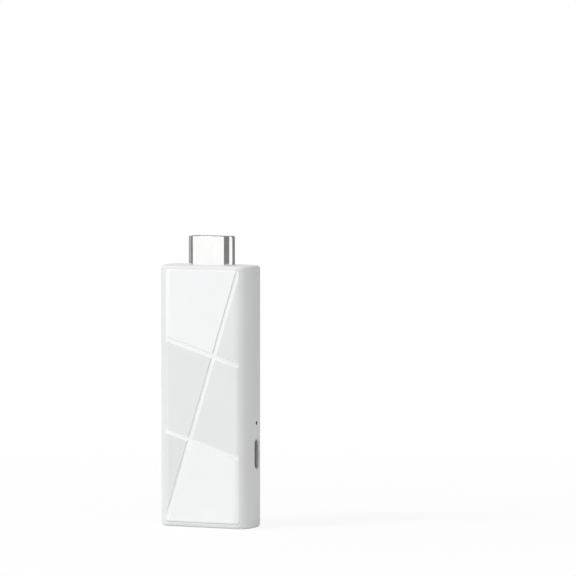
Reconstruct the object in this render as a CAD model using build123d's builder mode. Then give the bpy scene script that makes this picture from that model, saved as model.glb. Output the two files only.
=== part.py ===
from build123d import *
from math import cos, radians, sin, sqrt, tan
import os

# Wireless display dongle, standing on its lower end with the video plug on top.
# X is the width (the power socket opens towards +X), Y the depth (the patterned
# cover faces -Y) and Z the length. The origin is the middle of the lower end face.
# All lengths are in millimetres and all angles in degrees.

# Casing
casing_width = 28.9
casing_depth = 12.0
casing_height = 76.0
corner_radius = 4.0
end_round = 1.0
wall = 1.3

# Front cover, let into the front of the casing
side_border = 2.75
end_border = 1.3
cover_gap = 0.05
cover_proud = 0.2
cover_thickness = 1.3
cover_corner = 0.9
cover_edge_round = 0.15
cover_flat_width = 19.9

# Pattern on the cover: one long groove and two cross grooves, square to each
# other, with two facets that slope away from the long groove
pattern_turn = 17.5
long_groove_width = 1.45
long_groove_draft = 0.15
cross_groove_width = 1.45
cross_groove_draft = 0.28
cross_groove_offset = 12.75
cross_groove_drop = 0.35
groove_depth = 0.3
facet_slope = 0.4

# Cover hooks and the ribs that carry the cover
hook_heights = (20.0, 38.0, 56.0)
hook_length = 3.0
hook_thickness = 0.7
hook_reach = 2.1
hook_barb = 0.9
hook_inset = 0.55
barb_drop = 0.65
seat_heights = (12.0, 29.0, 47.0, 65.0)
seat_length = 3.0
seat_thickness = 0.8
seat_overlap = 0.45
end_seat_length = 6.0

# Circuit board
board_thickness = 1.0
board_width = 22.2
board_end_gap = 1.0
board_plug_gap = 0.2
board_corner = 1.0
board_tab_gap = 0.55
board_tab_margin = 1.7
board_cutout_gap = 0.1

# Video plug: a metal shell whose front corners are cut off
plug_width = 13.9
plug_depth = 4.45
plug_front_width = 10.3
plug_cut_depth = 1.75
plug_cut_round = 0.9
plug_back_round = 0.6
plug_sheet = 0.3
plug_exposed = 8.4
plug_inside = 5.7
plug_lead_in = 0.12
plug_mouth_round = 0.6
plug_wall_gap = 0.2
plug_leg_length = 4.6
plug_leg_depth = 2.4
plug_insulator_recess = 0.4
plug_slot_width = 11.7
plug_slot_depth = 1.8
plug_slot_length = 8.4
plug_slot_offset = 0.35
plug_contact_width = 0.45
plug_contact_sheet = 0.2
plug_contact_pitch = 1.0
plug_contact_recess = 0.9
plug_back_contacts = 10
plug_front_contacts = 9
plug_tail_length = 2.0

# Power socket in the +X wall
socket_height = 21.45
socket_back_offset = 0.7
socket_span = 8.94
socket_thickness = 3.2
socket_sheet = 0.25
socket_length = 7.4
socket_recess = 0.3
socket_wall_gap = 0.12
socket_base_length = 1.7
tongue_span = 6.7
tongue_thickness = 0.7
tongue_recess = 0.9
tongue_plate = 0.15
socket_contacts = 12
socket_contact_pitch = 0.5
socket_contact_width = 0.26
socket_contact_sheet = 0.12
socket_contact_proud = 0.05
socket_contact_recess = 0.7
socket_tail_length = 1.1
socket_tab_length = 1.2
socket_tab_reach = 0.9
socket_tab_sheet = 0.3
socket_leg_depth = 1.3

# Reset switch behind a pinhole in the +X wall
reset_back_offset = 0.4
reset_gap = 1.93
reset_hole = 1.1
reset_travel = 0.25
plunger_gap = 0.15
switch_span = 3.5
switch_depth = 2.6
switch_thickness = 1.5
switch_front_gap = 0.65
switch_skin = 0.4
switch_play = 0.05
plunger_width = 1.2
plunger_thickness = 0.7
head_width = 2.0
head_length = 0.7
head_play = 0.02
dome_span = 2.1
dome_sheet = 0.1
switch_cover_sheet = 0.15
terminal_sheet = 0.15
terminal_width = 0.6
terminal_reach = 0.85

# Board screws, bosses and posts
screw_side = 8.8
upper_screw_drop = 6.4
lower_screw_height = 25.8
screw_diameter = 1.6
screw_length = 3.4
screw_head = 2.8
screw_head_height = 0.9
screw_recess_width = 0.35
screw_recess_depth = 0.5
screw_play = 0.02
board_hole = 1.9
boss_diameter = 3.8
lower_post_height = 12.5
middle_post_side = 9.3
middle_post_height = 46.0
post_diameter = 2.4
saddle_drop = 3.3
saddle_width = 9.0
saddle_thickness = 1.2
saddle_gap = 0.1

# Processor, memory and storage
processor_side = 13.0
processor_thickness = 1.1
processor_shield_gap = 1.5
memory_width = 7.5
memory_length = 10.5
memory_thickness = 1.0
memory_shield_gap = 0.7
memory_offset = 4.6
storage_width = 11.5
storage_length = 13.0
storage_thickness = 1.0
storage_height = 39.8

# Shield over processor and memory, and the heat path to the cover
shield_width = 19.6
shield_length = 26.5
shield_screw_gap = 0.6
shield_sheet = 0.2
shield_depth = 1.5
shield_flange = 0.7
shield_play = 0.02
lid_skirt = 1.2
processor_pad_side = 11.0
memory_pad_width = 6.0
memory_pad_length = 9.0
spreader_pad_width = 16.0
spreader_pad_length = 22.0
spreader_pad_thickness = 0.5
spreader_width = 19.2
spreader_length = 26.1
spreader_thickness = 1.0
press_post_spread = (15.2, 19.0)
press_post_diameter = 2.0

# Wireless module and its antenna
module_place = (-3.5, 10.2)
module_side = 12.0
module_board = 0.8
module_shield_side = 11.0
module_shield_depth = 1.2
module_sheet = 0.2
antenna_connector_place = (-7.2, 19.0)
connector_base_side = 2.6
connector_base_thickness = 0.35
connector_core = 1.6
connector_core_height = 0.6
connector_cap = 2.1
connector_cap_height = 0.9
cable_diameter = 0.8
cable_bend = 2.4
cable_drop_start = 14.6
cable_drop_end = 10.6
cable_end = 7.2
antenna_width = 18.0
antenna_length = 6.0
antenna_sheet = 0.2
antenna_bottom = 3.2

# Small board parts: (x, z) places with (width, length, thickness) sizes
inductor_places = ((-7.0, 19.3), (-3.4, 19.3), (0.2, 19.3))
inductor_size = (2.5, 2.0, 1.2)
manager_place = (-1.5, 24.6)
manager_size = (5.0, 5.0, 0.85)
regulator_places = ((-6.0, 22.9), (3.2, 24.6))
regulator_size = (2.9, 1.6, 1.1)
large_crystal_place = (6.4, 12.0)
large_crystal_size = (3.2, 2.5, 0.7)
small_crystal_place = (6.4, 8.4)
small_crystal_size = (2.0, 1.2, 0.5)
surge_start = -4.2
surge_pitch = 2.8
surge_count = 4
surge_drop = 3.4
surge_size = (2.1, 1.0, 0.5)
capacitor_size = (0.8, 1.6, 0.8)
resistor_size = (0.5, 1.0, 0.35)
front_capacitor_pitch = 1.6
upper_capacitor_start = -5.6
upper_capacitor_drop = 5.8
upper_capacitor_count = 8
lower_capacitor_start = (4.5, 5.0)
lower_capacitor_count = 4
back_capacitor_starts = ((-5.0, 50.0), (-5.0, 53.0), (-5.0, 56.0))
back_capacitor_pitch = 2.0
back_capacitor_count = 6
resistor_pitch = 1.0
front_resistor_start = (-9.6, 22.0)
front_resistor_count = 2
back_resistor_start = (-6.0, 30.6)
back_resistor_count = 13

# Places that follow from the sizes above
half_width = casing_width / 2
half_depth = casing_depth / 2
inner_side = half_width - wall
back_inside = half_depth - wall
cover_inside = -half_depth + cover_thickness
opening_depth = corner_radius - sqrt((corner_radius - wall) ** 2 - (corner_radius - side_border) ** 2)
opening_width = casing_width - 2 * side_border
opening_height = casing_height - 2 * end_border
cover_width = opening_width - 2 * cover_gap
cover_height = opening_height - 2 * cover_gap
middle_height = casing_height / 2
board_front = -board_thickness / 2
board_back = board_thickness / 2
board_bottom = wall + board_end_gap
board_tab_edge = inner_side - board_tab_gap
plug_tip = casing_height + plug_exposed
plug_rear = casing_height - plug_inside
board_top = plug_rear - board_plug_gap
board_tab_bottom = socket_height - socket_span / 2 - socket_tab_reach - board_tab_margin
upper_screw_height = board_top - upper_screw_drop
screw_places = ((screw_side, upper_screw_height), (-screw_side, lower_screw_height))
post_places = (
    (-screw_side, upper_screw_height), (screw_side, lower_post_height),
    (middle_post_side, middle_post_height), (-middle_post_side, middle_post_height),
)
shield_top = upper_screw_height - screw_head / 2 - shield_screw_gap
shield_middle = (0, shield_top - shield_length / 2)
processor_height = shield_top - processor_shield_gap - processor_side / 2
memory_height = shield_top - shield_length + memory_shield_gap + memory_length / 2
slot_middle = plug_slot_offset
socket_mouth = half_width - socket_recess
socket_rear = socket_mouth - socket_length
reset_height = socket_height + socket_span / 2 + socket_tab_reach + reset_gap + switch_span / 2
board_tab_top = reset_height + switch_span / 2 + terminal_reach + board_tab_margin
switch_front = inner_side - switch_front_gap
switch_rear = switch_front - switch_depth
plunger_tip = inner_side - plunger_gap
shield_roof = board_front - shield_depth
lid_top = shield_roof - shield_sheet
spreader_back = lid_top - spreader_pad_thickness
spreader_front = spreader_back - spreader_thickness

front_face = Plane.XZ.offset(half_depth)
board_front_face = Plane.XZ.offset(-board_front)
board_back_face = Plane(origin=(0, board_back, 0), x_dir=(1, 0, 0), z_dir=(0, -1, 0))

pieces = {}


def keep(name, part):
    """Labels a finished piece and files it under its name."""
    part.label = name
    pieces[name] = part
    return part


def blocks(places, size, face, outward):
    """Identical rectangular packages seated on one face of the board."""
    with BuildPart() as group:
        with BuildSketch(face):
            with Locations(*places):
                Rectangle(size[0], size[1])
        extrude(amount=outward * size[2])
    return group.part


def row(start, pitch, count):
    """Places of a row of small parts along X, from its first place."""
    return [(start[0] + index * pitch, start[1]) for index in range(count)]


def plug_outline(inset):
    """Cross-section of the video plug, moved inwards by inset."""
    wide = plug_width / 2
    narrow = plug_front_width / 2
    deep = plug_depth / 2
    with BuildSketch() as outline:
        with BuildLine():
            Polyline(
                (-wide, deep), (wide, deep), (wide, plug_cut_depth - deep), (narrow, -deep),
                (-narrow, -deep), (-wide, plug_cut_depth - deep), close=True,
            )
        make_face()
        corners = outline.vertices().sort_by(Axis.Y)
        fillet(corners[0:4], radius=plug_cut_round)
        fillet(outline.vertices().group_by(Axis.Y)[-1], radius=plug_back_round)
        if inset:
            offset(amount=-inset, mode=Mode.REPLACE)
    return outline.sketch


def socket_outline(inset):
    """Cross-section of the power socket's shell, moved inwards by inset."""
    with BuildSketch() as outline:
        SlotOverall(socket_span - 2 * inset, socket_thickness - 2 * inset, rotation=90)
    return outline.sketch


def groove(across, along, middle, width, draft):
    """Straight groove cutter with drafted walls, through middle, running along the given direction."""
    plane = Plane(origin=middle, x_dir=across, z_dir=along)
    floor = width / 2 - draft
    rise = draft / groove_depth
    with BuildPart() as cutter:
        with BuildSketch(plane.offset(-casing_height)):
            Polygon(
                (-floor, groove_depth), (floor, groove_depth),
                (width / 2 + rise, -1), (-width / 2 - rise, -1), align=None,
            )
        extrude(amount=2 * casing_height)
    return cutter.part


def facet(across, along, middle, start):
    """Wedge cutter whose face slopes away from the long groove; it runs from -start along the groove."""
    plane = Plane(origin=middle, x_dir=across, z_dir=along)
    slope = tan(radians(facet_slope))
    inner = long_groove_width / 2
    outer = casing_width
    with BuildPart() as cutter:
        with BuildSketch(plane.offset(-start)):
            Polygon((0, -inner * slope), (outer, (outer - inner) * slope), (outer, -1), (0, -1), align=None)
        extrude(amount=start + casing_height)
    return cutter.part


# Rear shell: back, side and end walls in one moulding, open at the front.
with BuildPart() as rear_shell:
    with BuildSketch():
        RectangleRounded(casing_width, casing_depth, corner_radius)
    extrude(amount=casing_height)
    end_edges = rear_shell.edges().group_by(Axis.Z)[0] + rear_shell.edges().group_by(Axis.Z)[-1]
    fillet(end_edges, radius=end_round)
    with BuildSketch(Plane.XY.offset(wall)):
        RectangleRounded(casing_width - 2 * wall, casing_depth - 2 * wall, corner_radius - wall)
    extrude(amount=casing_height - 2 * wall, mode=Mode.SUBTRACT)
    # Front opening for the cover, right through the wall
    with BuildSketch(front_face):
        with Locations((0, middle_height)):
            RectangleRounded(opening_width, opening_height, cover_corner)
    extrude(amount=-opening_depth, mode=Mode.SUBTRACT)
    # Seat ribs under the long edges of the cover, behind the lips of the opening
    seat_width = inner_side - cover_width / 2 + seat_overlap
    seat_plane = Plane.XZ.offset(-cover_inside)
    with BuildSketch(seat_plane):
        for height in seat_heights:
            with Locations((inner_side - seat_width / 2, height), (-inner_side + seat_width / 2, height)):
                Rectangle(seat_width, seat_length)
        with Locations(
            (0, end_border + cover_gap + seat_overlap / 2 - wall / 2),
            (0, casing_height - end_border - cover_gap - seat_overlap / 2 + wall / 2),
        ):
            Rectangle(end_seat_length, seat_overlap + wall)
    extrude(amount=-seat_thickness)
    # Screw bosses, support posts and the saddle behind the video plug
    with BuildSketch(Plane.XZ.offset(-board_back)):
        with Locations(*screw_places):
            Circle(boss_diameter / 2)
        with Locations(*post_places):
            Circle(post_diameter / 2)
    extrude(amount=board_back - half_depth + wall / 2)
    with BuildSketch(Plane.XZ.offset(-plug_depth / 2 - saddle_gap)):
        with Locations((0, casing_height - saddle_drop)):
            Rectangle(saddle_width, saddle_thickness)
    extrude(amount=plug_depth / 2 + saddle_gap - half_depth + wall / 2)
    with BuildSketch(Plane.XZ.offset(-board_back)):
        with Locations(*screw_places):
            Circle(screw_diameter / 2 + screw_play)
    extrude(amount=-screw_length, mode=Mode.SUBTRACT)
    # Opening for the video plug in the upper end wall
    with BuildSketch(Plane.XY.offset(casing_height)):
        add(plug_outline(0))
        offset(amount=plug_wall_gap, mode=Mode.REPLACE)
    extrude(amount=-wall, mode=Mode.SUBTRACT)
    # Power socket opening and reset pinhole in the +X wall
    with BuildSketch(Plane.YZ.offset(half_width)):
        with Locations((socket_back_offset, socket_height)):
            SlotOverall(
                socket_span + 2 * socket_wall_gap, socket_thickness + 2 * socket_wall_gap, rotation=90
            )
        with Locations((reset_back_offset, reset_height)):
            Circle(reset_hole / 2)
    extrude(amount=-wall - socket_wall_gap, mode=Mode.SUBTRACT)
keep("rear_shell", rear_shell.part)

# Front cover: a thin plate that follows the casing's front, stands slightly proud of
# it, and carries the grooves, the facets, the hooks and the posts that press the
# heat spreader.
turn = radians(pattern_turn)
across_long = (cos(turn), 0, -sin(turn))
along_long = (sin(turn), 0, cos(turn))
cover_middle = Vector(0, -half_depth - cover_proud, middle_height)
upper_cross = cross_groove_offset - cross_groove_drop
lower_cross = -cross_groove_offset - cross_groove_drop
down_long = tuple(-value for value in along_long)
long_groove = groove(across_long, along_long, cover_middle, long_groove_width, long_groove_draft)
cross_grooves = [
    groove(
        down_long, across_long, cover_middle + Vector(*along_long) * place,
        cross_groove_width, cross_groove_draft,
    )
    for place in (upper_cross, lower_cross)
]
right_facet = facet(across_long, along_long, cover_middle, -lower_cross)
left_facet = facet(tuple(-value for value in across_long), down_long, cover_middle, upper_cross)
hook_outer = cover_width / 2 - hook_inset
hook_inner = hook_outer - hook_thickness
barb_top = cover_inside + barb_drop
hook_end = cover_inside + hook_reach

with BuildPart() as front_cover:
    with BuildSketch(Plane.XY.offset(end_border + cover_gap)):
        RectangleRounded(
            cover_flat_width + 2 * (corner_radius + cover_proud), casing_depth + 2 * cover_proud,
            corner_radius + cover_proud,
        )
        with Locations((0, cover_inside)):
            Rectangle(
                cover_width, cover_thickness + 2 * cover_proud,
                align=(Align.CENTER, Align.MAX), mode=Mode.INTERSECT,
            )
    extrude(amount=cover_height)
    fillet(front_cover.edges().filter_by(Axis.Y), radius=cover_corner - cover_gap)
    front_rim = front_cover.edges().filter_by(
        lambda edge: edge.center().Y < -half_depth + cover_proud
        and (abs(edge.center().Z - middle_height) > cover_height / 2 - cover_corner
             or abs(edge.center().X) > cover_width / 2 - cover_corner / 2)
    )
    fillet(front_rim, radius=cover_edge_round)
    for cutter in (right_facet, left_facet, long_groove, *cross_grooves):
        add(cutter, mode=Mode.SUBTRACT)
    # Hooks that catch behind the lips of the opening
    for height in hook_heights:
        with BuildSketch(Plane.XY.offset(height - hook_length / 2)):
            with BuildLine():
                Polyline(
                    (hook_inner, cover_inside), (hook_outer, cover_inside), (hook_outer, barb_top),
                    (hook_outer + hook_barb, barb_top), (hook_outer, hook_end), (hook_inner, hook_end),
                    close=True,
                )
            make_face()
            mirror(about=Plane.YZ)
        extrude(amount=hook_length)
    # Posts that press the heat spreader
    with BuildSketch(Plane.XZ.offset(-cover_inside)):
        with Locations(shield_middle):
            with GridLocations(press_post_spread[0], press_post_spread[1], 2, 2):
                Circle(press_post_diameter / 2)
    extrude(amount=cover_inside - spreader_front)
keep("front_cover", front_cover.part)

# Video plug: shell with two legs that straddle the board
with BuildPart() as plug_shell:
    with BuildSketch(Plane.XY.offset(plug_rear)):
        add(plug_outline(0))
        add(plug_outline(plug_sheet), mode=Mode.SUBTRACT)
    extrude(amount=plug_tip - plug_rear)
    mouth_rim = plug_shell.faces().sort_by(Axis.Z)[-1].outer_wire().edges()
    chamfer(mouth_rim, length=plug_lead_in)
    with BuildSketch(Plane.XY.offset(plug_rear)):
        with Locations((plug_width / 2 - plug_sheet / 2, 0), (-plug_width / 2 + plug_sheet / 2, 0)):
            Rectangle(plug_sheet, plug_leg_depth)
    extrude(amount=-plug_leg_length)
    # The mouth's corners are rounded as seen from the front
    with BuildSketch(Plane.XZ.offset(plug_depth / 2)) as side_profile:
        with Locations((0, plug_rear - plug_leg_length)):
            Rectangle(plug_width, plug_tip - plug_rear + plug_leg_length, align=(Align.CENTER, Align.MIN))
        fillet(side_profile.vertices().group_by(Axis.Y)[-1], radius=plug_mouth_round)
    extrude(amount=-plug_depth, mode=Mode.INTERSECT)
keep("video_plug_shell", plug_shell.part)


def plug_contacts(count, side):
    """One row of plug contacts. side is +1 for the row at the back and -1 for the row at the front."""
    wall_face = slot_middle + side * plug_slot_depth / 2
    board_face = side * board_thickness / 2
    first = -(count - 1) / 2 * plug_contact_pitch
    jog = plug_rear - plug_contact_sheet
    with BuildPart() as contacts:
        for index in range(count):
            with BuildSketch(Plane.YZ.offset(first + index * plug_contact_pitch - plug_contact_width / 2)):
                with BuildLine():
                    Polyline(
                        (wall_face, plug_tip - plug_insulator_recess - plug_contact_recess),
                        (wall_face + side * plug_contact_sheet,
                         plug_tip - plug_insulator_recess - plug_contact_recess),
                        (wall_face + side * plug_contact_sheet, jog),
                        (board_face + side * plug_contact_sheet, jog),
                        (board_face + side * plug_contact_sheet, plug_rear - plug_tail_length),
                        (board_face, plug_rear - plug_tail_length),
                        (board_face, plug_rear),
                        (wall_face, plug_rear),
                        close=True,
                    )
                make_face()
            extrude(amount=plug_contact_width)
    return contacts.part


back_contacts = keep("video_plug_contacts_back", plug_contacts(plug_back_contacts, 1))
front_contacts = keep("video_plug_contacts_front", plug_contacts(plug_front_contacts, -1))

with BuildPart() as plug_insulator:
    with BuildSketch(Plane.XY.offset(plug_rear)):
        add(plug_outline(plug_sheet))
    extrude(amount=plug_tip - plug_insulator_recess - plug_rear)
    with BuildSketch(Plane.XY.offset(plug_tip)):
        with Locations((0, slot_middle)):
            Rectangle(plug_slot_width, plug_slot_depth)
    extrude(amount=-plug_slot_length - plug_insulator_recess, mode=Mode.SUBTRACT)
    add(back_contacts, mode=Mode.SUBTRACT)
    add(front_contacts, mode=Mode.SUBTRACT)
keep("video_plug_insulator", plug_insulator.part)

# Power socket: shell with four tabs, whose legs pass through the board
tab_places = [
    (socket_rear + 1.5 * socket_tab_length, 1), (socket_rear + 1.5 * socket_tab_length, -1),
    (board_tab_edge - socket_tab_length, 1), (board_tab_edge - socket_tab_length, -1),
]
leg_spread = socket_span / 2 + socket_tab_reach - socket_tab_sheet / 2

with BuildPart() as socket_shell:
    with BuildSketch(Plane.YZ.offset(socket_rear)):
        with Locations((socket_back_offset, socket_height)):
            add(socket_outline(0))
            add(socket_outline(socket_sheet), mode=Mode.SUBTRACT)
    extrude(amount=socket_length)
    for tab_x, side in tab_places:
        with BuildSketch(board_front_face):
            with Locations((tab_x, socket_height + side * (socket_span / 2 + socket_tab_reach) / 2)):
                Rectangle(socket_tab_length, socket_span / 2 + socket_tab_reach)
        extrude(amount=socket_tab_sheet)
        with BuildSketch(board_front_face):
            with Locations((tab_x, socket_height + side * leg_spread)):
                Rectangle(socket_tab_length, socket_tab_sheet)
        extrude(amount=-socket_leg_depth)
    # The tabs stop at the shell: its inside stays open
    with BuildSketch(Plane.YZ.offset(socket_rear)):
        with Locations((socket_back_offset, socket_height)):
            add(socket_outline(socket_sheet))
    extrude(amount=socket_length, mode=Mode.SUBTRACT)
keep("power_socket_shell", socket_shell.part)


def socket_row(side):
    """One row of socket contacts on the tongue. side is +1 for the row at the back and -1 for the front."""
    outer = socket_back_offset + side * (tongue_thickness / 2 + socket_contact_proud)
    strip = sorted((outer, outer - side * socket_contact_sheet))
    tail = sorted((side * board_thickness / 2, side * (board_thickness / 2 + socket_contact_sheet)))
    tip = socket_mouth - tongue_recess - socket_contact_recess
    riser = socket_rear - 2 * socket_contact_sheet
    first = -(socket_contacts - 1) / 2 * socket_contact_pitch
    with BuildPart() as contacts:
        for index in range(socket_contacts):
            height = socket_height + first + index * socket_contact_pitch - socket_contact_width / 2
            with BuildSketch(Plane.XY.offset(height)):
                with BuildLine():
                    Polyline(
                        (tip, strip[1]), (riser - socket_contact_sheet, strip[1]),
                        (riser - socket_contact_sheet, tail[1]), (riser - socket_tail_length, tail[1]),
                        (riser - socket_tail_length, tail[0]), (riser, tail[0]),
                        (riser, strip[0]), (tip, strip[0]), close=True,
                    )
                make_face()
            extrude(amount=socket_contact_width)
    return contacts.part


keep("power_socket_contacts_back", socket_row(1))
keep("power_socket_contacts_front", socket_row(-1))

with BuildPart() as tongue_midplate:
    with BuildSketch(Plane.YZ.offset(socket_rear + socket_base_length)):
        with Locations((socket_back_offset, socket_height)):
            Rectangle(tongue_plate, tongue_span)
    extrude(amount=socket_mouth - tongue_recess - socket_rear - socket_base_length - tongue_plate)
keep("power_socket_midplate", tongue_midplate.part)

with BuildPart() as socket_insulator:
    with BuildSketch(Plane.YZ.offset(socket_rear)):
        with Locations((socket_back_offset, socket_height)):
            add(socket_outline(socket_sheet))
    extrude(amount=socket_base_length)
    with BuildSketch(Plane.YZ.offset(socket_rear)):
        with Locations((socket_back_offset, socket_height)):
            Rectangle(tongue_thickness, tongue_span)
    extrude(amount=socket_mouth - tongue_recess - socket_rear)
    for name in ("power_socket_contacts_back", "power_socket_contacts_front", "power_socket_midplate"):
        add(pieces[name], mode=Mode.SUBTRACT)
keep("power_socket_insulator", socket_insulator.part)

# Reset switch: housing, plunger, spring dome, cover plate and terminals
head_front = switch_front - switch_skin - head_play
head_rear = head_front - head_length
chamber_rear = switch_rear + switch_skin
chamber_span = head_width + 2 * switch_play
chamber_thickness = plunger_thickness + 2 * switch_play

with BuildPart() as switch_base:
    with Locations(((switch_front + switch_rear) / 2, reset_back_offset, reset_height)):
        Box(switch_depth, switch_thickness, switch_span)
    with Locations(((switch_front - switch_skin + chamber_rear) / 2, reset_back_offset, reset_height)):
        Box(
            switch_front - switch_skin - chamber_rear, chamber_thickness,
            max(chamber_span, dome_span + 2 * switch_play), mode=Mode.SUBTRACT,
        )
    with Locations((switch_front, reset_back_offset, reset_height)):
        Box(
            2 * switch_skin, chamber_thickness, plunger_width + 2 * switch_play, mode=Mode.SUBTRACT
        )
keep("reset_switch_base", switch_base.part)

with BuildPart() as plunger:
    with BuildSketch(Plane.XZ.offset(-reset_back_offset - plunger_thickness / 2)):
        with Locations(((plunger_tip + head_front) / 2, reset_height)):
            Rectangle(plunger_tip - head_front, plunger_width)
        with Locations(((head_front + head_rear) / 2, reset_height)):
            Rectangle(head_length, head_width)
    extrude(amount=plunger_thickness)
    tip_edges = plunger.faces().sort_by(Axis.X)[-1].edges().filter_by(Axis.Y)
    fillet(tip_edges, radius=switch_skin / 2)
keep("reset_switch_plunger", plunger.part)

with BuildPart() as dome:
    with BuildSketch(Plane.XZ.offset(-reset_back_offset - plunger_thickness / 2)):
        with BuildLine():
            outer_arc = ThreePointArc(
                (chamber_rear, reset_height - dome_span / 2), (head_rear, reset_height),
                (chamber_rear, reset_height + dome_span / 2),
            )
            Line(outer_arc @ 1, (chamber_rear, reset_height + dome_span / 2 - 2 * dome_sheet))
            ThreePointArc(
                (chamber_rear, reset_height + dome_span / 2 - 2 * dome_sheet),
                (head_rear - dome_sheet, reset_height),
                (chamber_rear, reset_height - dome_span / 2 + 2 * dome_sheet),
            )
            Line((chamber_rear, reset_height - dome_span / 2 + 2 * dome_sheet), outer_arc @ 0)
        make_face()
    extrude(amount=plunger_thickness)
keep("reset_switch_dome", dome.part)

switch_back = reset_back_offset + switch_thickness / 2
with BuildPart() as switch_cover:
    with BuildSketch(Plane.XZ.offset(-switch_back)):
        with Locations(((switch_front + switch_rear) / 2, reset_height)):
            Rectangle(switch_depth, switch_span)
            Rectangle(terminal_width, switch_span + 2 * switch_cover_sheet)
    extrude(amount=-switch_cover_sheet)
    with BuildSketch(Plane.XZ.offset(-board_back)):
        ear = (switch_span + switch_cover_sheet) / 2
        with Locations(
            ((switch_front + switch_rear) / 2, reset_height + ear),
            ((switch_front + switch_rear) / 2, reset_height - ear),
        ):
            Rectangle(terminal_width, switch_cover_sheet)
    extrude(amount=board_back - switch_back)
keep("reset_switch_cover", switch_cover.part)

with BuildPart() as switch_terminals:
    with BuildSketch(Plane.XZ.offset(-board_back)):
        spread = (switch_span + terminal_reach) / 2
        for terminal_x in (switch_rear + terminal_width, switch_front - terminal_width):
            with Locations((terminal_x, reset_height + spread), (terminal_x, reset_height - spread)):
                Rectangle(terminal_width, terminal_reach)
    extrude(amount=-terminal_sheet)
keep("reset_switch_terminals", switch_terminals.part)

# Main board, with cutouts for the plug legs, the power socket and the reset switch
with BuildPart() as board:
    with BuildSketch(board_back_face):
        with Locations((0, (board_bottom + board_top) / 2)):
            RectangleRounded(board_width, board_top - board_bottom, board_corner)
        with Locations((board_tab_edge / 2, (board_tab_bottom + board_tab_top) / 2)):
            Rectangle(board_tab_edge, board_tab_top - board_tab_bottom)
        # Power socket
        with Locations((board_tab_edge, socket_height)):
            Rectangle(
                2 * (board_tab_edge - socket_rear + 3 * socket_contact_sheet + board_cutout_gap),
                socket_span + 2 * board_cutout_gap, mode=Mode.SUBTRACT,
            )
        for tab_x, side in tab_places:
            with Locations((tab_x, socket_height + side * leg_spread)):
                Rectangle(
                    socket_tab_length + 2 * board_cutout_gap, socket_tab_sheet + 2 * board_cutout_gap,
                    mode=Mode.SUBTRACT,
                )
        # Reset switch
        with Locations((board_tab_edge, reset_height)):
            Rectangle(
                2 * (board_tab_edge - switch_rear + board_cutout_gap), switch_span + 2 * board_cutout_gap,
                mode=Mode.SUBTRACT,
            )
        # Plug legs
        leg_middle = plug_width / 2 - plug_sheet / 2
        with Locations((leg_middle, board_top), (-leg_middle, board_top)):
            Rectangle(
                plug_sheet + 2 * board_cutout_gap,
                2 * (board_top - plug_rear + plug_leg_length + board_cutout_gap), mode=Mode.SUBTRACT,
            )
        with Locations(*screw_places):
            Circle(board_hole / 2, mode=Mode.SUBTRACT)
    extrude(amount=board_thickness)
keep("main_board", board.part)

with BuildPart() as screws:
    with BuildSketch(board_front_face):
        with Locations(*screw_places):
            Circle(screw_head / 2)
    extrude(amount=screw_head_height)
    head_rims = screws.edges().filter_by(GeomType.CIRCLE).group_by(Axis.Y)[0]
    fillet(head_rims, radius=screw_head_height / 3)
    with BuildSketch(board_front_face.offset(screw_head_height)):
        with Locations(*screw_places):
            Rectangle(screw_head * 0.6, screw_recess_width)
            Rectangle(screw_recess_width, screw_head * 0.6)
    extrude(amount=-screw_recess_depth, mode=Mode.SUBTRACT)
    with BuildSketch(board_front_face):
        with Locations(*screw_places):
            Circle(screw_diameter / 2)
    extrude(amount=-board_thickness - screw_length + 2 * screw_play)
keep("board_screws", screws.part)

# Chips on the board
processor_size = (processor_side, processor_side, processor_thickness)
memory_size = (memory_width, memory_length, memory_thickness)
keep("processor_chip", blocks([(0, processor_height)], processor_size, board_front_face, 1))
memory_places = [(memory_offset, memory_height), (-memory_offset, memory_height)]
keep("memory_chips", blocks(memory_places, memory_size, board_front_face, 1))
keep(
    "storage_chip",
    blocks([(0, storage_height)], (storage_width, storage_length, storage_thickness), board_back_face, -1),
)

# Shield: a frame soldered to the board and a lid that clips over it
with BuildPart() as shield_frame:
    with BuildSketch(board_front_face):
        with Locations(shield_middle):
            Rectangle(shield_width, shield_length)
            Rectangle(
                shield_width - 2 * shield_sheet, shield_length - 2 * shield_sheet, mode=Mode.SUBTRACT
            )
    extrude(amount=shield_depth)
    with BuildSketch(board_front_face.offset(shield_depth)):
        with Locations(shield_middle):
            Rectangle(shield_width, shield_length)
            Rectangle(
                shield_width - 2 * shield_flange, shield_length - 2 * shield_flange, mode=Mode.SUBTRACT
            )
    extrude(amount=-shield_sheet)
keep("shield_frame", shield_frame.part)

lid_grow = 2 * (shield_sheet + shield_play)
with BuildPart() as shield_lid:
    with BuildSketch(Plane.XZ.offset(-lid_top)):
        with Locations(shield_middle):
            Rectangle(shield_width + lid_grow, shield_length + lid_grow)
    extrude(amount=-lid_skirt)
    fillet(shield_lid.edges().filter_by(Axis.Y), radius=shield_sheet)
    with BuildSketch(Plane.XZ.offset(-lid_top - shield_sheet)):
        with Locations(shield_middle):
            Rectangle(shield_width + 2 * shield_play, shield_length + 2 * shield_play)
    extrude(amount=-lid_skirt, mode=Mode.SUBTRACT)
keep("shield_lid", shield_lid.part)

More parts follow.
